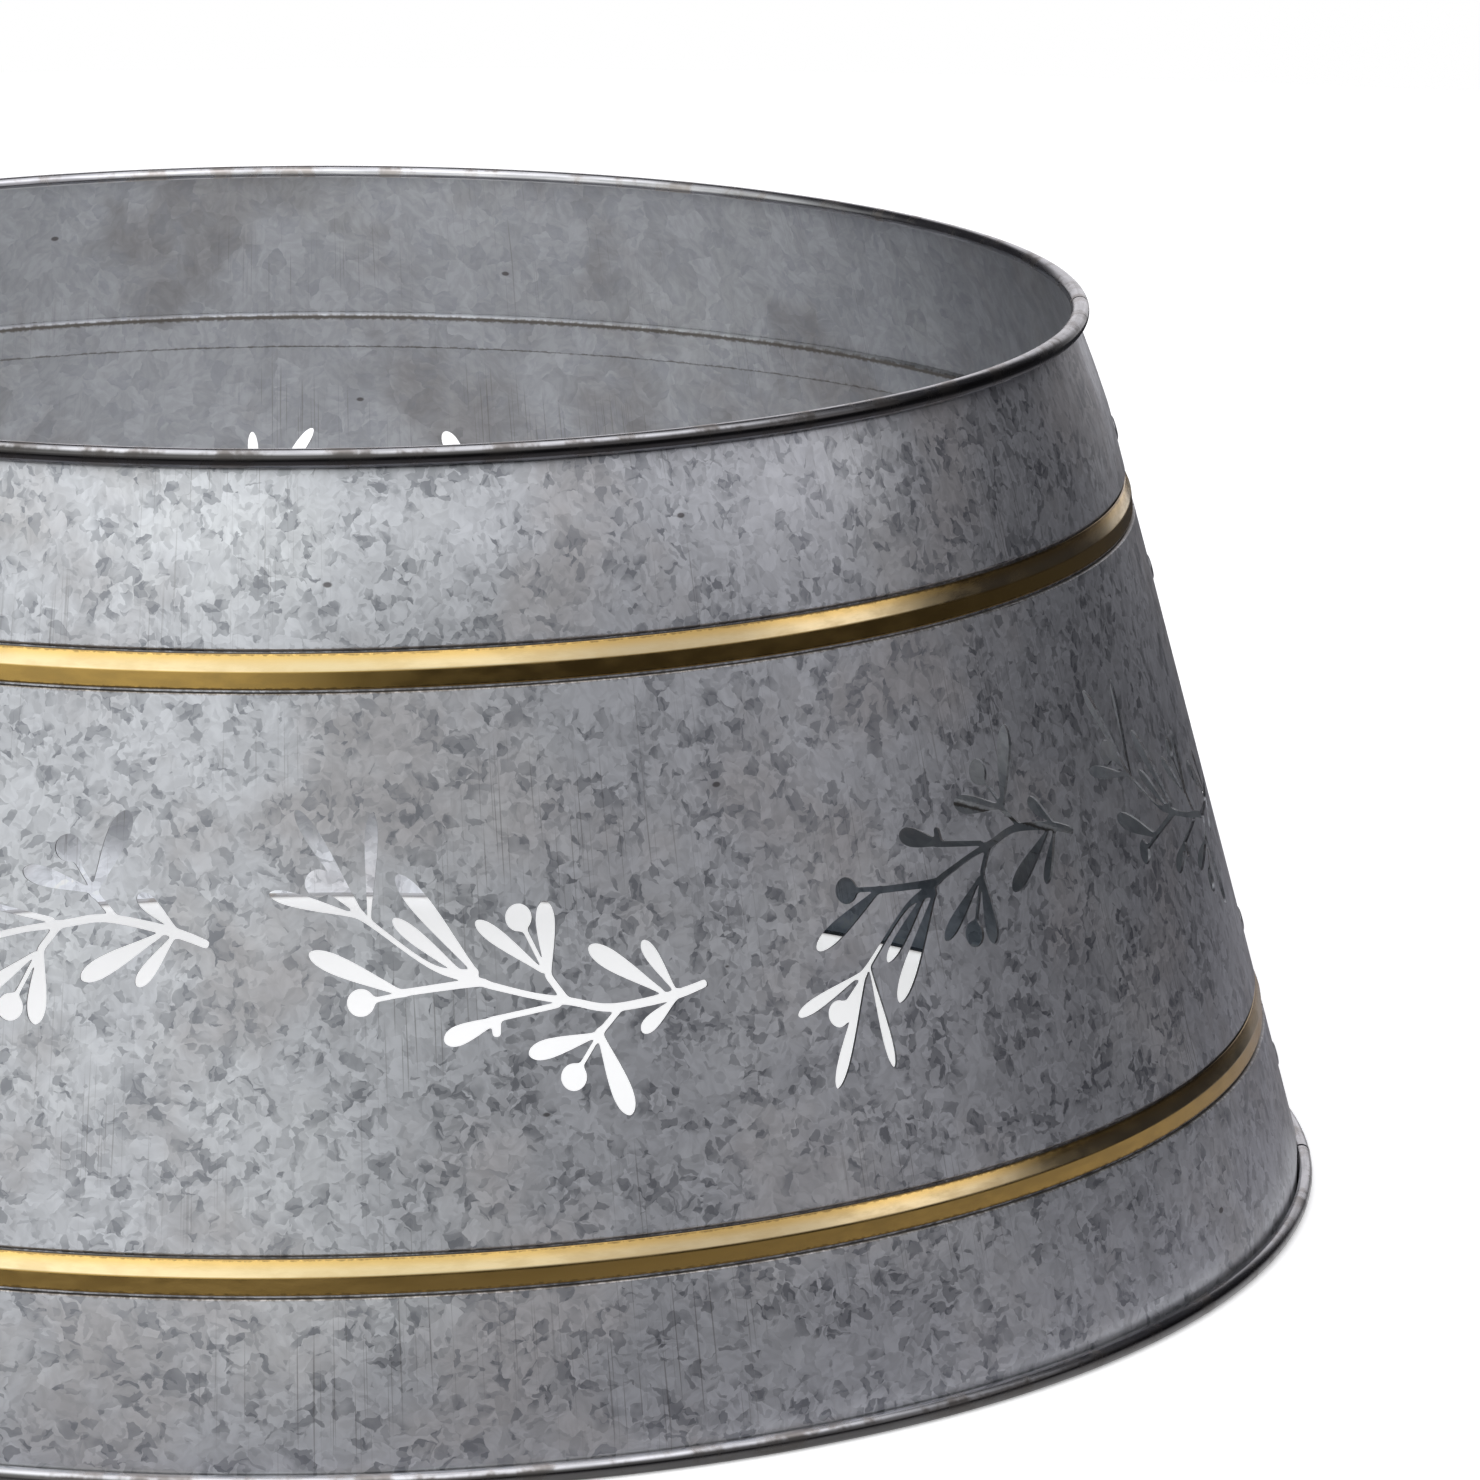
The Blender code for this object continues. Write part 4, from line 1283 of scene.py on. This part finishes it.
def light_world(scene, heading):
    """A studio of soft lights, seen as plain white by the camera itself."""
    world = bpy.data.worlds.new("studio")
    scene.world = world
    world.use_nodes = True
    tree = world.node_tree
    background = tree.nodes["Background"]
    facing = tree.nodes.new("ShaderNodeTexCoord").outputs["Generated"]

    def light(azimuth, height, inner, outer, brightness, colour):
        toward = direction(math.radians(azimuth) + heading, math.radians(height))
        made = use_group(tree, soft_light_group, Direction=facing, Toward=toward,
                         Inner=math.cos(math.radians(inner)),
                         Outer=math.cos(math.radians(outer)), Brightness=brightness)
        return scaled(tree, colour, made.outputs[0])

    total = light(*SOFT_LIGHTS[0])
    for values in SOFT_LIGHTS[1:]:
        total = vector_maths(tree, "ADD", total, light(*values))
    share = eased(tree, parted(tree, facing)[2], HAZE_HEIGHT, CLEAR_HEIGHT, HORIZON_SHARE, 1.0)
    total = scaled(tree, total, share)
    for values in LOW_LIGHTS:
        total = vector_maths(tree, "ADD", total, light(*values))
    total = vector_maths(tree, "ADD", total, AMBIENT)
    seen = tree.nodes.new("ShaderNodeLightPath").outputs["Is Camera Ray"]
    tree.links.new(blended(tree, seen, total, (1.0, 1.0, 1.0)), background.inputs["Color"])
    background.inputs["Strength"].default_value = 1.0


def floor_material(stage):
    """A pale floor: white to the camera but for the shadow.

    In reflections its colour is painted light and shade: inside the collar it glows white
    but for a painted shade in the corner at the back right, round it it is painted grey and
    far off dark.
    """
    made, tree, surface = shader("floor")
    place = tree.nodes.new("ShaderNodeTexCoord").outputs["Object"]
    far = wire(tree, "ShaderNodeVectorMath", "LENGTH", i0=place).outputs["Value"]
    fade = eased(tree, far, stage.floor_white, stage.floor_dark)
    outside = eased(tree, far, *FOOT_REACH)
    spot = parted(tree, place)
    painted_corner_shade = maths(tree, "MULTIPLY", eased(tree, spot[0], *SHADE_RIGHT),
                  eased(tree, spot[1], *SHADE_BACK))
    inside = blended(tree, painted_corner_shade, stage.floor_colour, SHADE_COLOUR)
    grey = blended(tree, outside, inside, NEAR_COLOUR)
    rays = tree.nodes.new("ShaderNodeLightPath").outputs
    seen = rays["Is Camera Ray"]
    painted_reflected_colour = blended(tree, fade, grey, FAR_COLOUR)
    tree.links.new(blended(tree, seen, painted_reflected_colour, stage.floor_colour),
                   surface.inputs["Base Color"])
    surface.inputs["Roughness"].default_value = 0.9
    surface.inputs["Specular IOR Level"].default_value = 0.0
    surface.inputs["Emission Color"].default_value = (1.0, 1.0, 1.0, 1.0)
    # Painted light: in reflections the floor inside the collar glows, outside the painted shade
    inner = maths(tree, "MULTIPLY", rays["Is Glossy Ray"],
                  maths(tree, "SUBTRACT", 1.0, maths(tree, "MAXIMUM", outside, painted_corner_shade)))
    glow = maths(tree, "MULTIPLY", maths(tree, "ADD", seen, inner), stage.floor_lift)
    tree.links.new(glow, surface.inputs["Emission Strength"])
    return made


class COLLAR_OT_panels(Operator):
    """Roll the two zinc panels, with their sprigs, channels and rims"""

    bl_idname = "collar.panels"
    bl_label = "Panels"

    def execute(self, context):
        cone = Cone(context.scene.collar_sizes)
        look = context.scene.collar_finish
        outside = zinc("galvanised_outside", look, cone, *ZINC_OUTSIDE)
        inside = zinc("galvanised_inside", look, cone, *ZINC_INSIDE)
        rim = bright_steel("rolled_rim", *ROLLED_RIM)
        edge = bright_steel("cut_edge", *CUT_EDGE)
        for half, side in enumerate(HALVES):
            name = f"{side}_panel"
            flat = mesh_of(flat_panel(cone, half), name + ".flat")
            panel = apply_tree(flat, name + ".rolled", rolling_tree(), cone, outside)
            mesh = panel.data
            mesh.materials.clear()
            for finish in (outside, inside, rim, rim, edge, edge, edge):
                mesh.materials.append(finish)
            rolled = mesh.attributes["rolled"]
            for index, polygon in enumerate(mesh.polygons):
                polygon.material_index = 2 * rolled.data[index].value
            thickness = panel.modifiers.new("sheet", "SOLIDIFY")
            thickness.thickness = cone.sheet
            thickness.offset = 0.0
            thickness.use_even_offset = True
            thickness.material_offset = 1
            thickness.material_offset_rim = 4
            panel = plain(panel, side + "_panel_sheet")
            settle(panel, [name])
        return {"FINISHED"}


class COLLAR_OT_bands(Operator):
    """Roll the gilt bands into their channels"""

    bl_idname = "collar.bands"
    bl_label = "Gilt bands"

    def execute(self, context):
        cone = Cone(context.scene.collar_sizes)
        gilt = gilding("gilt", context.scene.collar_finish, (cone.lower_band, cone.upper_band),
                       cone.band_half)
        for level, place in (("lower", cone.lower_band), ("upper", cone.upper_band)):
            for half, side in enumerate(HALVES):
                node = f"{side}_{level}_band"
                bar = mesh_of(strip(cone, half, band_section(cone, place)), node + ".flat")
                band = apply_tree(bar, node + "_gilt", rolling_tree(), cone, gilt)
                settle(band, [node])
        return {"FINISHED"}


class COLLAR_OT_rim_wires(Operator):
    """Roll the wires that lie inside the rims"""

    bl_idname = "collar.rim_wires"
    bl_label = "Rim wires"

    def execute(self, context):
        cone = Cone(context.scene.collar_sizes)
        steel = bright_steel("drawn_wire", *DRAWN_WIRE)
        rims = (("bottom", 0.0, BOTTOM_RIM_STANDOFF), ("top", cone.slant, -TOP_RIM_INSET))
        for level, place, centre in rims:
            for half, side in enumerate(HALVES):
                node = f"{side}_{level}_rim_wire"
                bar = mesh_of(strip(cone, half, wire_section(place, centre)), node + ".flat")
                wire_piece = apply_tree(bar, node + "_round", rolling_tree(), cone, steel)
                settle(wire_piece, [node])
        return {"FINISHED"}


def turned_shape(shape, profile, sides):
    """Turn a profile of (radius, height) points, first and last on the axis, about Z."""
    rings = []
    for radius, height in profile:
        if radius == 0:
            rings.append([shape.verts.new((0.0, 0.0, height))] * sides)
            continue
        turns = [math.tau * side / sides for side in range(sides)]
        rings.append([shape.verts.new((radius * math.cos(turn), radius * math.sin(turn), height))
                      for turn in turns])
    for lower, upper in zip(rings, rings[1:]):
        for side in range(sides):
            after = (side + 1) % sides
            ring = []
            for vertex in (lower[side], lower[after], upper[after], upper[side]):
                if vertex not in ring:
                    ring.append(vertex)
            shape.faces.new(ring)


def thread_ridge(shape):
    """A helical ridge round the screw's core, closed at both ends."""
    turns = int((SHANK_LENGTH - THREAD_BARE_TURNS * THREAD_PITCH) / THREAD_PITCH)
    root = SCREW_RADIUS - THREAD_DEPTH * THREAD_ROOT_SHARE
    profile = ((root, THREAD_ROOT_LIFT), (SCREW_RADIUS, THREAD_CREST_LIFT),
               (SCREW_RADIUS, -THREAD_CREST_LIFT), (root, -THREAD_ROOT_LIFT))
    rings = []
    for step in range(turns * THREAD_STEPS + 1):
        turn = step / THREAD_STEPS
        angle = math.tau * turn
        middle = -(turn + THREAD_LEAD) * THREAD_PITCH
        rings.append([shape.verts.new((radius * math.cos(angle), radius * math.sin(angle),
                                       middle + lift * THREAD_PITCH))
                      for radius, lift in profile])
    for ring, following in zip(rings, rings[1:]):
        for index in range(len(profile)):
            after = (index + 1) % len(profile)
            shape.faces.new((ring[index], following[index], following[after], ring[after]))
    shape.faces.new(rings[0])
    shape.faces.new(rings[-1])


def screw_shape():
    """A low-headed screw that seats at z = 0, with a helical thread round its shank."""
    shape = bmesh.new()
    core = SCREW_RADIUS - THREAD_DEPTH
    profile = [(0.0, -SHANK_LENGTH), (core * TIP_RADIUS_SHARE, -SHANK_LENGTH),
               (core, -SHANK_LENGTH + core * TIP_LENGTH_SHARE), (core, 0.0),
               (HEAD_RADIUS, 0.0)]
    for step in range(1, HEAD_STEPS):
        angle = math.pi / 2 * step / HEAD_STEPS
        profile.append((HEAD_RADIUS * math.cos(angle) ** 0.5, HEAD_RISE * math.sin(angle)))
    profile.append((0.0, HEAD_RISE))
    turned_shape(shape, profile, HEAD_SIDES)
    thread_ridge(shape)
    bmesh.ops.recalc_face_normals(shape, faces=shape.faces)
    return shape


def add_prism(shape, outline, reach):
    """Add a closed prism that runs from an outline of points as far as a vector."""
    near = [shape.verts.new(point) for point in outline]
    far = [shape.verts.new(reach + Vector(point)) for point in outline]
    for index in range(len(outline)):
        shape.faces.new((near[index - 1], near[index], far[index], far[index - 1]))
    shape.faces.new(near)
    shape.faces.new(far)


def cross_shape():
    """The cross-shaped cutter of the screw's recess: two crossed bars."""
    shape = bmesh.new()
    reach, half = RECESS_REACH, RECESS_HALF
    corners = ((reach, -half), (reach, half), (half, half), (half, reach), (-half, reach),
               (-half, half), (-reach, half), (-reach, -half), (-half, -half),
               (-half, -reach), (half, -reach), (half, -half))
    low = HEAD_RISE - RECESS_DEPTH
    add_prism(shape, [(x, y, low) for x, y in corners], Vector((0.0, 0.0, 2 * HEAD_RISE)))
    bmesh.ops.recalc_face_normals(shape, faces=shape.faces)
    return shape


def wing_outline(direction):
    """One rounded wing of the nut, seen from the side, as (x, z) points."""
    points = [(NUT_RADIUS * x, -NUT_RISE * z) for x, z in WING_ROOT_SHARES]
    lobe = WING_REACH * WING_LOBE_SHARE
    middle = (WING_REACH - lobe, -WING_RISE + lobe)
    for step in range(WING_STEPS + 1):
        angle = WING_FIRST_TURN + WING_SWEEP * step / WING_STEPS
        points.append((middle[0] + lobe * math.cos(angle), middle[1] - lobe * math.sin(angle)))
    points += [(NUT_RADIUS * x, -NUT_RISE * z) for x, z in WING_WAIST_SHARES]
    return [(direction * x, z) for x, z in points]


def wing_nut_shape():
    """A wing nut that seats at z = 0, with a bored hub and two rounded wings."""
    shape = bmesh.new()
    bore = SCREW_RADIUS + THREAD_DEPTH / 3
    hub = [(bore, 0.0)]
    hub += [(NUT_RADIUS * out, -NUT_RISE * down) for out, down in NUT_HUB_SHARES]
    hub.append((bore, -NUT_RISE))
    rings = []
    for side in range(HEAD_SIDES):
        turn = math.tau * side / HEAD_SIDES
        rings.append([shape.verts.new((radius * math.cos(turn), radius * math.sin(turn), height))
                      for radius, height in hub])
    for ring, following in zip(rings, rings[1:] + rings[:1]):
        for index in range(len(hub)):
            after = (index + 1) % len(hub)
            shape.faces.new((ring[index], following[index], following[after], ring[after]))
    for direction in (1, -1):
        add_prism(shape, [(x, -WING_HALF, z) for x, z in wing_outline(direction)],
                  Vector((0.0, 2 * WING_HALF, 0.0)))
    bmesh.ops.recalc_face_normals(shape, faces=shape.faces)
    return shape


def fastener_points(cone, out):
    """A point on the flat pattern for every fastener of both seams."""
    shape = bmesh.new()
    for half in range(2):
        x = cone.columns(half)[-1] + SCREW_SETBACK
        for _, _, screws in plain_zones(cone):
            for along in screws:
                shape.verts.new((x, along, out))
    return shape


class COLLAR_OT_fasteners(Operator):
    """Set the screws and the wing nuts up both seams"""

    bl_idname = "collar.fasteners"
    bl_label = "Seam fasteners"

    def execute(self, context):
        cone = Cone(context.scene.collar_sizes)
        plating = plated_steel("zinc_plating")
        screw = new_object("screw.source", mesh_of(screw_shape(), "screw.source"))
        cutter = new_object("cross.source", mesh_of(cross_shape(), "cross.source"))
        recess = screw.modifiers.new("recess", "BOOLEAN")
        recess.object = cutter
        recess.solver = "EXACT"
        recess.use_self = True
        weld = screw.modifiers.new("weld", "WELD")
        weld.merge_threshold = WELD_DISTANCE
        screw = plain(screw, "screw.cut")
        bpy.data.objects.remove(cutter)
        nut = new_object("nut.source", mesh_of(wing_nut_shape(), "nut.source"))
        seat = cone.sheet / 2
        kinds = (("screw", screw, seat, math.tau),
                 ("wing_nut", nut, -cone.lap_depth - seat - SEAT_GAP / 2, math.pi))
        for seed, (kind, fastener, out, most_turn) in enumerate(kinds):
            points = mesh_of(fastener_points(cone, out), kind + ".points")
            fasteners = apply_tree(points, f"seam_{kind}s", fastening_tree(), cone, plating,
                                   Fastener=fastener, **{"Most turn": most_turn, "Seed": seed})
            bpy.data.objects.remove(fastener)
            nodes = [f"{seam}_seam_{kind}_{number}" for seam in SEAMS
                     for number in range(1, SCREWS_PER_SEAM + 1)]
            settle(fasteners, nodes)
        return {"FINISHED"}


class COLLAR_OT_stage(Operator):
    """Set up the floor, the light and the camera"""

    bl_idname = "collar.stage"
    bl_label = "Stage"

    def execute(self, context):
        scene = context.scene
        stage = scene.collar_stage
        floor = new_object("floor", mesh_of(floor_disc(), "floor"))
        floor.data.materials.append(floor_material(stage))
        light_world(scene, stage.camera_heading)
        place_camera(scene, stage)
        scene.view_settings.view_transform = "Standard"
        return {"FINISHED"}


def floor_disc():
    """A round flat floor."""
    shape = bmesh.new()
    level = Matrix.Translation((0.0, 0.0, FLOOR_HEIGHT))
    bmesh.ops.create_circle(shape, cap_ends=True, segments=FLOOR_SIDES, radius=FLOOR_RADIUS,
                            matrix=level)
    return shape


def place_camera(scene, stage):
    """Stand the camera where the photograph was taken from."""
    flat = -stage.camera_distance * math.cos(stage.camera_elevation)
    height = AIM_HEIGHT + stage.camera_distance * math.sin(stage.camera_elevation)
    down = stage.camera_elevation + stage.camera_tilt
    forward = Vector((math.sin(stage.camera_turn) * math.cos(down),
                      math.cos(stage.camera_turn) * math.cos(down), -math.sin(down)))
    right = forward.cross(Vector((0.0, 0.0, 1.0))).normalized()
    up = right.cross(forward)
    across = right * math.cos(stage.camera_roll) + up * math.sin(stage.camera_roll)
    upward = up * math.cos(stage.camera_roll) - right * math.sin(stage.camera_roll)
    turned = Matrix((across, upward, -forward)).transposed().to_4x4()
    lens = bpy.data.cameras.new("camera")
    lens.lens = stage.lens
    lens.sensor_width = SENSOR_WIDTH
    camera = bpy.data.objects.new("camera", lens)
    around = Matrix.Rotation(stage.camera_heading, 4, "Z")
    camera.matrix_world = around @ Matrix.Translation((0.0, flat, height)) @ turned
    scene.collection.objects.link(camera)
    scene.camera = camera


class COLLAR_PT_sidebar(Panel):
    """The collar's sizes, finishes and steps"""

    bl_label = "Tree Collar"
    bl_space_type = "VIEW_3D"
    bl_region_type = "UI"
    bl_category = "Tree Collar"

    def draw(self, context):
        for group in ("collar_sizes", "collar_finish", "collar_stage"):
            settings = getattr(context.scene, group)
            box = self.layout.box()
            for name in settings.__annotations__:
                box.prop(settings, name)
        for step in STEPS:
            self.layout.operator(step.bl_idname)


STEPS = (COLLAR_OT_stage, COLLAR_OT_panels, COLLAR_OT_bands, COLLAR_OT_rim_wires,
         COLLAR_OT_fasteners)
CLASSES = (CollarSizes, CollarFinish, CollarStage, *STEPS, COLLAR_PT_sidebar)


def register():
    """Register the classes and hang their settings on the scene."""
    for made in CLASSES:
        bpy.utils.register_class(made)
    bpy.types.Scene.collar_sizes = PointerProperty(type=CollarSizes)
    bpy.types.Scene.collar_finish = PointerProperty(type=CollarFinish)
    bpy.types.Scene.collar_stage = PointerProperty(type=CollarStage)


def unregister():
    """Take the settings and the classes away again."""
    del bpy.types.Scene.collar_stage
    del bpy.types.Scene.collar_finish
    del bpy.types.Scene.collar_sizes
    for made in reversed(CLASSES):
        bpy.utils.unregister_class(made)


def main():
    """Build every piece in order."""
    register()
    bpy.ops.collar.stage()
    bpy.ops.collar.panels()
    bpy.ops.collar.bands()
    bpy.ops.collar.rim_wires()
    bpy.ops.collar.fasteners()


if __name__ == "__main__":
    main()
